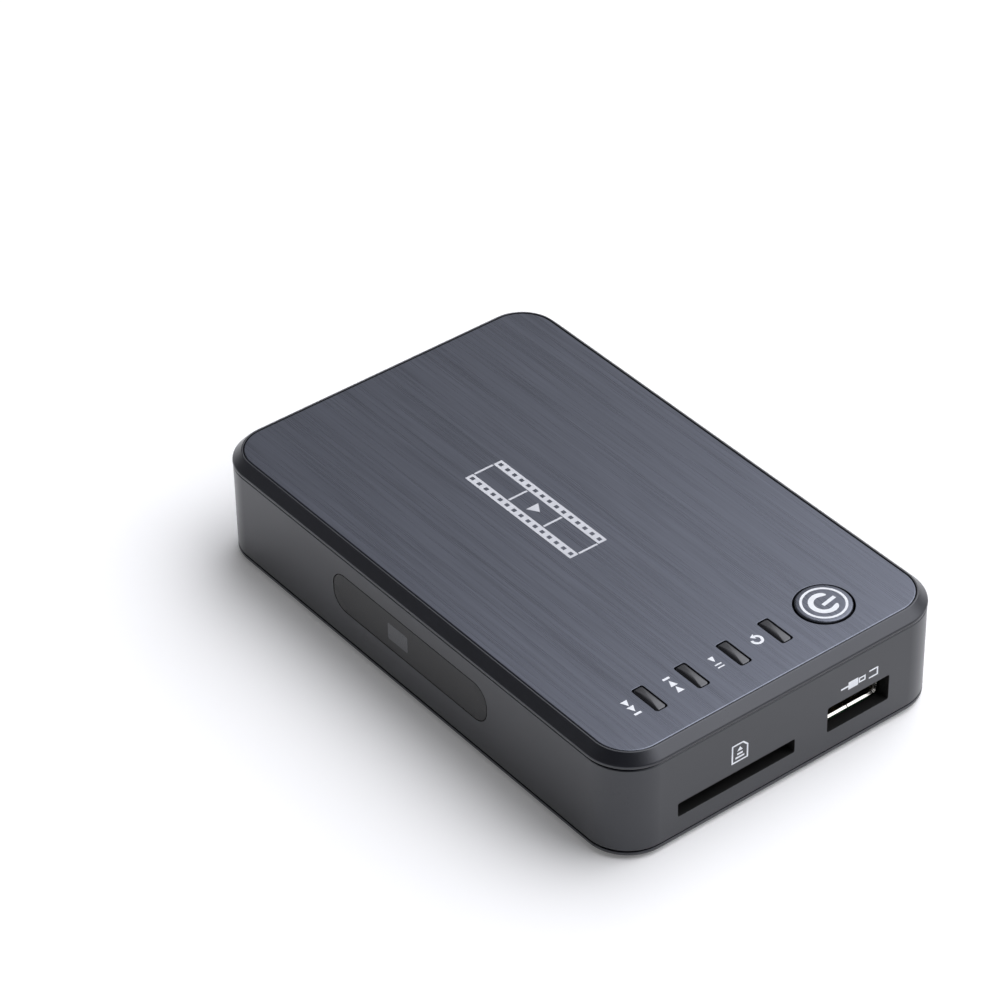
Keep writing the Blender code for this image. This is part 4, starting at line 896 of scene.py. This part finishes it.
class PLAYER_OT_power_button(bpy.types.Operator):
    """Round brushed button with a rounded edge, its ring and its glyph"""

    bl_idname = "player.power_button"
    bl_label = "Power button"

    def execute(self, context):
        size = context.scene.player_sizes
        centre = middle(BUTTON)
        low, top = BUTTON[0].z, BUTTON[1].z - size.ink * 1.5
        flange_top = low + FLANGE
        radius = size.power_opening - 0.0004
        flange = BUTTON[1].x - centre.x - radius
        edge = size.power_edge
        profile = soft_profile([
            (-0.002, low, 0.0), (flange, low, 0.0001), (flange, flange_top, 0.0001), (0.0, flange_top, 0.00005),
            (0.0, top, edge), (-0.002, top, 0.0)], steps=7)
        grid = swept(circle(radius, 128), profile, at=(centre.x, centre.y, 0))
        obj = start_piece("power_button_cap", [shell(grid)], "brushed_plate")
        lay_uv(obj)
        finish_piece(obj, "power_button_moving", ["power_button"])
        self.add_glyph(centre, top, size.ink)
        return {"FINISHED"}

    def add_glyph(self, centre, top, ink):
        """Ring, open ring and bar, printed on the button."""
        at = (centre.x, centre.y, 0)
        sunk = top - ink
        ring = framed(circle(GLYPH_RING[0]), GLYPH_RING[1], top, ink, at=at)
        hook = arc_band(*GLYPH_HOOK, sunk, top + ink, at)
        bar = round_rectangle(*GLYPH_BAR, 4)
        turn = math.atan2(0.0032, -0.00055)
        points = np.asarray(bar[0]) + bar[1] * bar[2]
        spin = np.array([[math.cos(turn), math.sin(turn)], [-math.sin(turn), math.cos(turn)]])
        stroke = prism(mitred(points @ spin + GLYPH_BAR_PLACE), sunk, top + ink, at=at)
        make_print("power_glyph", [ring, hook, stroke], "power_button_moving", "brushed_plate")


def arc_band(radius, start, end, width, tip, low, high, at, steps=72):
    """A band along an arc: its middle line is radius times (cos t, sin t), and its width narrows to the tip
    width over the last tenth at each end. Its section is a rectangle from low to high."""
    share = np.linspace(0.0, 1.0, steps + 1)
    angle = start + (end - start) * share
    taper = np.clip(np.minimum(share, 1 - share) / 0.10, 0.0, 1.0)
    half = (tip + (width - tip) * taper * (2 - taper)) / 2
    spoke = np.stack([np.cos(angle), np.sin(angle)], axis=1)
    inner, outer = spoke * (radius - half)[:, None], spoke * (radius + half)[:, None]
    flat = np.stack([outer, outer, inner, inner], axis=1)
    level = np.broadcast_to(np.array([low, high, high, low])[None, :, None], (steps + 1, 4, 1))
    return shell(np.concatenate([flat, level], axis=-1) + np.asarray(at, float))


def white_ink():
    """White ink, made on its first use."""
    found = bpy.data.materials.get("white_ink_finish")
    return found or print_ink("white_ink", tuple(bpy.context.scene.player_colours.ink))


class PLAYER_OT_host_socket(bpy.types.Operator):
    """Host socket: a sheet shell with a flared lip and a seam, and its insulator"""

    bl_idname = "player.host_socket"
    bl_label = "Host socket"

    def execute(self, context):
        centre_y = middle(HOST_SHELL).y
        back, front = HOST_SHELL[0].x, HOST_SHELL[1].x
        half_y = (HOST_SHELL[1].y - HOST_SHELL[0].y) / 2
        top = HOST_SHELL[1].z
        sheet, inner_height = 0.0003, 0.0051
        half_z = inner_height / 2 + sheet
        centre_z = top - half_z
        outline = round_rectangle(half_y, half_z, 0.0006)
        lip = front - 0.0007
        profile = soft_profile([
            (0.0, back, 0.00005), (0.0, lip, 0.0004), (0.00030, front - 0.0001, 0.00008), (0.00012, front, 0.00008),
            (-sheet, front - 0.00042, 0.0003), (-sheet, back, 0.00005)], closed=True)
        grid = swept(outline, profile, "x", (0, centre_y, centre_z))
        obj = start_piece("usb_shell_skin", [shell(grid, closed=True)], "nickel_sheet")
        legs = [prism(mitred(box_points(0.0010, sheet / 2)), HOST_SHELL[0].z, centre_z,
                      at=(back + 0.0030, centre_y + side * (half_y - sheet / 2 - 0.00001), 0)) for side in (-1, 1)]
        combine(obj, "UNION", legs)
        seam = prism(mitred(box_points(0.0080, 0.00010)), centre_z - half_z - OVERRUN, centre_z - half_z + OVERRUN,
                     at=((back + front) / 2, centre_y, 0))
        combine(obj, "DIFFERENCE", [seam])
        finish_piece(obj, "root", ["usb_shell"])
        self.make_insulator(centre_y, centre_z, inner_height, back, front)
        return {"FINISHED"}

    def make_insulator(self, centre_y, centre_z, inner_height, back, front):
        """Block at the back with the tongue high in the mouth, its edges softly broken."""
        half_y = (HOST_BODY[1].y - HOST_BODY[0].y) / 2
        block_front = back + 0.0045
        edge = 0.00012
        block = round_rectangle(half_y, inner_height / 2 - FIT, 0.0004)
        at = (0, centre_y, centre_z)
        first = rod(block, back, block_front, (edge, edge), "x", at, 0.0005)
        obj = start_piece("usb_insulator", [first], "insulator")
        thick = 0.0018
        height = centre_z + inner_height / 2 - 0.0008 - thick / 2
        tongue = round_rectangle(0.00555, thick / 2, 0.0003)
        tip = HOST_BODY[1].x
        combine(obj, "UNION", [rod(tongue, back + 0.002, tip, (edge, 0.00025), "x", (0, centre_y, height), 0.0004)])
        finish_piece(obj, "root", ["usb_body"])


def box_points(half_u, half_v):
    """Corners of a rectangle about the origin, anticlockwise."""
    return [(half_u, half_v), (-half_u, half_v), (-half_u, -half_v), (half_u, -half_v)]


class PLAYER_OT_back_sockets(bpy.types.Operator):
    """Video socket's shell, sound jack, power jack and its pin, on the +Y wall"""

    bl_idname = "player.back_sockets"
    bl_label = "Back sockets"

    def execute(self, context):
        self.make_video_shell()
        self.make_sound_jack()
        self.make_power_jack()
        return {"FINISHED"}

    def make_video_shell(self):
        """Sheet shell with a softly flared lip."""
        centre = middle(VIDEO_SHELL)
        back, front = VIDEO_SHELL[0].y, VIDEO_SHELL[1].y
        sheet = 0.0004
        profile = soft_profile([(0.0, back, 0.00008), (0.0, front, 0.00012), (-sheet, front, 0.00018),
                                (-sheet, back, 0.00008)], closed=True)
        grid = swept(video_outline(0.0), profile, "y", (centre.x, 0, centre.z))
        make_piece("hdmi_shell_skin", [shell(grid, closed=True)], "root", "nickel_sheet", ["hdmi_shell"])

    def make_sound_jack(self):
        """Block with a round nose and a bore, its edges softly broken."""
        centre = middle(SOUND_JACK)
        back, nose = SOUND_JACK[0].y, SOUND_JACK[1].y
        front = POWER_JACK[1].y
        at = (centre.x, 0, centre.z)
        block = round_rectangle(SOUND_JACK[1].x - centre.x, SOUND_JACK[1].z - centre.z, 0.0003, 6)
        obj = start_piece("av_jack_skin", [rod(block, back, front, (0.0002, 0.0002), "y", at)], "insulator")
        combine(obj, "UNION", [rod(circle(0.0027, 64), front - 0.002, nose, (0.0001, 0.0003), "y", at)])
        combine(obj, "DIFFERENCE", [flared(circle(0.0018, 64), nose - 0.0100, nose, 0.00015, at, "y")])
        finish_piece(obj, "root", ["av_jack"])

    def make_power_jack(self):
        """Block with a bore, and the round-ended pin in it."""
        centre = middle(POWER_JACK)
        back, front = POWER_JACK[0].y, POWER_JACK[1].y
        at = (centre.x, 0, centre.z)
        block = round_rectangle(POWER_JACK[1].x - centre.x, POWER_JACK[1].z - centre.z, 0.0004, 6)
        obj = start_piece("dc_jack_skin", [rod(block, back, front, (0.0002, 0.0002), "y", at)], "insulator")
        combine(obj, "DIFFERENCE", [flared(circle(0.0030, 64), front - 0.0090, front, 0.0002, at, "y")])
        finish_piece(obj, "root", ["dc_jack"])
        pin = rod(circle(0.0010, 48), POWER_PIN[0].y, POWER_PIN[1].y, (0.0001, 0.0004), "y", at, 0.0005)
        make_piece("dc_pin_skin", [pin], "root", "nickel_sheet", ["dc_pin"])


class PLAYER_OT_feet(bpy.types.Operator):
    """Four round rubber feet with soft edges"""

    bl_idname = "player.feet"
    bl_label = "Feet"

    def execute(self, context):
        for number in range(1, 5):
            low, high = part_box(f"foot_{number}")
            centre = (low + high) / 2
            pad = rod(circle(high.x - centre.x, 64), low.z, high.z, (0.00035, 0.0001), at=(centre.x, centre.y, 0))
            make_piece(f"foot_pad_{number}", [pad], "root", "foot_rubber", [f"foot_{number}"])
        return {"FINISHED"}


class PLAYER_OT_case_screws(bpy.types.Operator):
    """Four case screws with domed heads and a cross in each"""

    bl_idname = "player.case_screws"
    bl_label = "Case screws"

    def execute(self, context):
        for number in range(1, 5):
            low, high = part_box(f"case_screw_{number}")
            centre = (low + high) / 2
            head, shank = high.x - centre.x, 0.0010
            head_top = low.z + 0.0009
            profile = soft_profile([
                (-0.0012, low.z, 0.0), (0.0, low.z, 0.00035), (0.0, head_top, 0.00008),
                (shank - head, head_top, 0.00008), (shank - head, high.z, 0.0003), (-head * 0.9, high.z, 0.0)])
            obj = start_piece(f"case_screw_body_{number}",
                              [shell(swept(circle(head, 48), profile, at=(centre.x, centre.y, 0)))], "screw_steel")
            for half_u, half_v in (CROSS, CROSS[::-1]):
                bar = mitred(box_points(half_u, half_v))
                taper = [(0.0, low.z - OVERRUN), (0.0, low.z), (-0.00012, low.z + CROSS_DEPTH)]
                combine(obj, "DIFFERENCE", [shell(swept(bar, taper, at=(centre.x, centre.y, 0)))])
            finish_piece(obj, "root", [f"case_screw_{number}"])
        return {"FINISHED"}


def framed(outline, line, face, ink, axis="z", at=(0.0, 0.0, 0.0)):
    """A printed line of one width along the inner side of an outline."""
    profile = [(0.0, face - ink), (0.0, face + ink), (-line, face + ink), (-line, face - ink)]
    return shell(swept(outline, profile, axis, at), closed=True)


def inked(points, face, ink, axis="z", at=(0.0, 0.0, 0.0)):
    """A flat printed shape, half of its ink sunk in the face."""
    return prism(mitred(points), face - ink, face + ink, axis, at)


def arrow_head(tip, back, half):
    """Triangle that points along U, from its back to its tip."""
    step = 1 if tip > back else -1
    return [(tip, 0.0), (back, half * step), (back, -half * step)]


class PLAYER_OT_prints(bpy.types.Operator):
    """Key symbols, film-strip motif and socket pictograms, as thin ink"""

    bl_idname = "player.prints"
    bl_label = "Prints"

    def execute(self, context):
        ink = context.scene.player_sizes.ink
        self.print_key_symbols(ink)
        self.print_motif(ink)
        self.print_card_sign(ink)
        self.print_plug_sign(ink)
        return {"FINISHED"}

    def print_key_symbols(self, ink):
        """Skip, back, play and return symbols beside the keys."""
        top = PLATE[1].z
        aside = 0.00397
        half = 0.00072
        shapes = {
            "forward": [arrow_head(-0.0005, -0.0020, half), arrow_head(0.0012, -0.0003, half),
                        [(0.0021, half), (0.0016, half), (0.0016, -half), (0.0021, -half)]],
            "back": [arrow_head(0.0005, 0.0021, half), arrow_head(-0.0013, 0.0003, half),
                     [(-0.0017, half), (-0.0022, half), (-0.0022, -half), (-0.0017, -half)]],
            "play": [arrow_head(0.0000, -0.0015, 0.00058),
                     [(0.00085, half), (0.00058, half), (0.00058, -half), (0.00085, -half)],
                     [(0.00165, half), (0.00138, half), (0.00138, -half), (0.00165, -half)]],
            "return": [],
        }
        for name, outlines in shapes.items():
            centre = middle(KEYS[name])
            at = (centre.x - 0.0001, centre.y - aside, 0)
            solids = [inked(points, top, ink, at=at) for points in outlines]
            if name == "return":
                solids = [arc_band(0.00096, math.radians(-108), math.radians(166), 0.00054, 0.00050,
                                   top - ink, top + ink, at, 40),
                          inked([(-0.00030, 0.00008), (-0.00158, 0.00034), (-0.00112, -0.00062)], top, ink, at=at)]
            make_print(f"{name}_symbol", solids, "root", "brushed_plate")

    def print_motif(self, ink):
        """A strip of film: a band with a row of holes along each edge and three frames, one with a triangle."""
        top = PLATE[1].z
        centre = (-0.0060, -0.0035, 0)
        half_x, half_y = 0.0150, 0.0042
        line = 0.00045
        rail, pitch, holes_each = 0.00095, 0.0020, 15
        material = print_ink("silver_ink", tuple(bpy.context.scene.player_colours.silver))
        rails = [prism(round_rectangle(half_x, rail, 0.00015, 3), top - ink, top + ink,
                       at=(centre[0], centre[1] + side * (half_y - rail), 0)) for side in (-1, 1)]
        strip = start_piece("film_strip_print", rails, "brushed_plate", material)
        holes = [prism(round_rectangle(0.00045, 0.00040, 0.00008, 3), top - ink * 4, top + ink * 4,
                       at=(centre[0] + (place - holes_each // 2) * pitch, centre[1] + side * (half_y - rail), 0))
                 for place in range(holes_each) for side in (-1, 1)]
        combine(strip, "DIFFERENCE", holes)
        bars = [inked(box_points(line / 2, half_y - 0.0021), top, ink,
                      at=(centre[0] + place * 0.0099, centre[1], 0)) for place in (-1.5, -0.5, 0.5, 1.5)]
        sign = inked([(0.0013, 0.0), (-0.0009, 0.0014), (-0.0009, -0.0014)], top, ink, at=centre)
        frames = start_piece("film_frames_print", bars + [sign], "brushed_plate", material)
        for obj in (strip, frames):
            finish_piece(obj, "root")

    def print_card_sign(self, ink):
        """Card outline with a clipped corner, an arrow and two bars, over the card slot."""
        face = WALLS[1].x + bpy.context.scene.player_sizes.wall_proud
        at = (0, -0.01075, 0.01288)
        outer = [(0.00185, 0.00095), (0.00075, 0.00205), (-0.00185, 0.00205), (-0.00185, -0.00205),
                 (0.00185, -0.00205)]
        solids = [framed(mitred(outer), 0.00032, face, ink, "x", at)]
        solids += [inked(points, face, ink, "x", at) for points in (
            [(0.0, 0.00125), (-0.00062, 0.00035), (0.00062, 0.00035)],
            [(0.00062, -0.00010), (-0.00062, -0.00010), (-0.00062, -0.00050), (0.00062, -0.00050)],
            [(0.00100, -0.00085), (-0.00100, -0.00085), (-0.00100, -0.00125), (0.00100, -0.00125)])]
        make_print("card_sign", solids, "root", "case_plastic")

    def print_plug_sign(self, ink):
        """A plug that points into a socket: a body, a hollow end and a bracket, over the host socket."""
        face = WALLS[1].x + bpy.context.scene.player_sizes.wall_proud
        at = (0, 0.01675, 0.01410)
        end = mitred([(0.00110, 0.00058), (-0.00050, 0.00058), (-0.00050, -0.00058), (0.00110, -0.00058)])
        solids = [framed(end, 0.00030, face, ink, "x", at)]
        solids += [inked(points, face, ink, "x", at) for points in (
            [(-0.00065, 0.00082), (-0.00290, 0.00082), (-0.00290, -0.00082), (-0.00065, -0.00082)],
            [(-0.00290, 0.00019), (-0.00460, 0.00019), (-0.00460, -0.00019), (-0.00290, -0.00019)],
            [(0.00400, 0.00092), (0.00190, 0.00092), (0.00190, 0.00060), (0.00368, 0.00060),
             (0.00368, -0.00060), (0.00190, -0.00060), (0.00190, -0.00092), (0.00400, -0.00092)])]
        make_print("plug_sign", solids, "root", "case_plastic")


class PLAYER_OT_inner_parts(bpy.types.Operator):
    """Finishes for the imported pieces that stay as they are"""

    bl_idname = "player.inner_parts"
    bl_label = "Inner parts"

    def execute(self, context):
        slots = {row["node"]: row["material_slot"] for row in frame["record"]["subparts"]}
        for name, obj in frame["nodes"].items():
            if obj.hide_render:
                continue
            obj.data.materials.clear()
            obj.data.materials.append(finish_of(slots[name]))
        return {"FINISHED"}


class PLAYER_OT_stage(bpy.types.Operator):
    """Pale floor, soft light from behind and the camera"""

    bl_idname = "player.stage"
    bl_label = "Stage"

    def execute(self, context):
        stage = context.scene.player_stage
        self.make_floor(stage)
        self.make_world(stage)
        self.make_lamp(stage)
        self.make_camera(stage)
        context.scene.view_settings.view_transform = "Standard"
        return {"FINISHED"}

    def make_floor(self, stage):
        """A flat disc: each point is a radius times (cos t, sin t)."""
        spoke = circle(1.0, 64)[1]
        reach = np.array([0.02, 0.3, 1.0, 3.0])[:, None, None]
        rings = np.concatenate([spoke * reach, np.zeros((4, 64, 1))], axis=-1)
        index = np.arange(4 * 64).reshape(4, 64)
        quads = np.stack([index[:-1], index[1:], np.roll(index[1:], -1, 1), np.roll(index[:-1], -1, 1)], axis=-1)
        mesh = bpy.data.meshes.new("floor")
        mesh.from_pydata(rings.reshape(-1, 3).tolist(), [], quads.reshape(-1, 4).tolist() + [index[0].tolist()])
        floor = bpy.data.objects.new("floor", mesh)
        bpy.context.scene.collection.objects.link(floor)
        material = bpy.data.materials.new("pale_floor")
        nodes = Nodes(material)
        shader = nodes.tree.nodes["Principled BSDF"]
        for key, value in (("Base Color", (*stage.floor, 1.0)), ("Roughness", 0.9), ("Specular IOR Level", 0.1),
                           ("Emission Color", (1.0, 1.0, 1.0, 1.0))):
            shader.inputs[key].default_value = value
        rays = nodes.add("ShaderNodeLightPath").outputs
        seen = nodes.math("MAXIMUM", rays["Is Camera Ray"],
                          nodes.math("MAXIMUM", rays["Is Glossy Ray"], rays["Is Transmission Ray"]))
        nodes.join(nodes.math("MULTIPLY", seen, stage.floor_glow), shader.inputs["Emission Strength"])
        mesh.materials.append(material)

    def make_world(self, stage):
        """Plain studio surround: pale near the horizon, dim above it, and one wide soft light behind with a
        wider, weaker one round it. Each light's brightness is the smooth step of the direction's share along the
        light's axis, and both fade towards the horizon by the smooth step of its height."""
        world = bpy.data.worlds.new("studio")
        bpy.context.scene.world = world
        nodes = Nodes(world)
        nodes.tree.nodes.clear()
        place = nodes.add("ShaderNodeTexCoord").outputs["Generated"]
        split = nodes.add("ShaderNodeSeparateXYZ")
        nodes.join(place, split.inputs["Vector"])
        height = split.outputs["Z"]
        along = nodes.add("ShaderNodeVectorMath", operation="DOT_PRODUCT")
        nodes.join(place, along.inputs[0])
        along.inputs[1].default_value = Vector(stage.light_axis).normalized()

        def stepped(source, start, end, low, high):
            """Smooth step of a factor."""
            return nodes.spread(source, low, high, start, end, "SMOOTHSTEP")

        share, rim = along.outputs["Value"], stage.light_rim
        spot = nodes.math("ADD", stepped(share, rim, stage.light_core, 0.0, stage.dome - stage.veil),
                          stepped(share, rim - VEIL_START, rim - VEIL_FULL, 0.0, stage.veil))
        pale = nodes.math("ADD", stepped(height, *FOOT_HEIGHTS, stage.horizon - stage.dim, 0.0),
                          stepped(height, *DIM_HEIGHTS, stage.dim, stage.dim / 10))
        lit = nodes.math("MULTIPLY", spot, stepped(height, *LIGHT_HEIGHTS, 0.0, 1.0))
        shade = nodes.add("ShaderNodeBackground")
        shade.inputs["Color"].default_value = SURROUND_TINT
        nodes.join(nodes.math("ADD", lit, pale), shade.inputs["Strength"])
        nodes.join(shade.outputs["Background"], nodes.add("ShaderNodeOutputWorld").inputs["Surface"])

    def make_lamp(self, stage):
        """One wide soft lamp, high over the far end."""
        lamp = bpy.data.lights.new("soft_lamp", "AREA")
        lamp.shape = "DISK"
        lamp.size = LAMP_WIDTH
        lamp.energy = stage.lamp
        obj = bpy.data.objects.new("soft_lamp", lamp)
        obj.location = LAMP_PLACE
        obj.rotation_euler = (Vector((0, 0, 0)) - obj.location).to_track_quat("-Z", "Y").to_euler()
        bpy.context.scene.collection.objects.link(obj)

    def make_camera(self, stage):
        """Camera at the photograph's angle: its axes come from azimuth, elevation and roll."""
        a, e, roll = stage.azimuth, stage.elevation, stage.roll
        forward = Vector((-math.sin(a) * math.cos(e), math.cos(a) * math.cos(e), -math.sin(e)))
        level = Vector((math.cos(a), math.sin(a), 0.0))
        right = level * math.cos(roll) + level.cross(forward) * math.sin(roll)
        up = right.cross(forward)
        data = bpy.data.cameras.new("camera")
        data.lens = stage.lens
        data.sensor_width = 36.0
        data.clip_start, data.clip_end = 0.01, 50.0
        camera = bpy.data.objects.new("camera", data)
        turned = Matrix((right, up, -forward)).transposed().to_4x4()
        camera.matrix_world = Matrix.Translation(stage.place) @ turned
        bpy.context.scene.collection.objects.link(camera)
        bpy.context.scene.camera = camera


OPERATORS = (
    PLAYER_OT_stage,
    PLAYER_OT_bottom_cover,
    PLAYER_OT_case_body,
    PLAYER_OT_top_cover,
    PLAYER_OT_top_plate,
    PLAYER_OT_window,
    PLAYER_OT_keys,
    PLAYER_OT_power_button,
    PLAYER_OT_host_socket,
    PLAYER_OT_back_sockets,
    PLAYER_OT_feet,
    PLAYER_OT_case_screws,
    PLAYER_OT_prints,
    PLAYER_OT_inner_parts,
)


class PLAYER_PT_panel(bpy.types.Panel):
    """Panel that lists the player's pieces, sizes and colours"""

    bl_idname = "PLAYER_PT_panel"
    bl_label = "Media Player Box"
    bl_space_type = "VIEW_3D"
    bl_region_type = "UI"
    bl_category = "Player"

    def draw(self, context):
        for operator in OPERATORS:
            self.layout.operator(operator.bl_idname)
        scene = context.scene
        for group in (scene.player_sizes, scene.player_colours, scene.player_stage):
            box = self.layout.box()
            for name in group.__annotations__:
                box.prop(group, name)


CLASSES = (PlayerSizes, PlayerColours, PlayerStage, *OPERATORS, PLAYER_PT_panel)


def register():
    """Register the classes and the scene's settings."""
    for item in CLASSES:
        bpy.utils.register_class(item)
    bpy.types.Scene.player_sizes = PointerProperty(type=PlayerSizes)
    bpy.types.Scene.player_colours = PointerProperty(type=PlayerColours)
    bpy.types.Scene.player_stage = PointerProperty(type=PlayerStage)


def unregister():
    """Remove the scene's settings and the classes."""
    del bpy.types.Scene.player_sizes
    del bpy.types.Scene.player_colours
    del bpy.types.Scene.player_stage
    for item in reversed(CLASSES):
        bpy.utils.unregister_class(item)


def main():
    """Build every piece and the stage."""
    register()
    for operator in OPERATORS:
        group, name = operator.bl_idname.split(".")
        getattr(getattr(bpy.ops, group), name)()


if __name__ == "__main__":
    main()
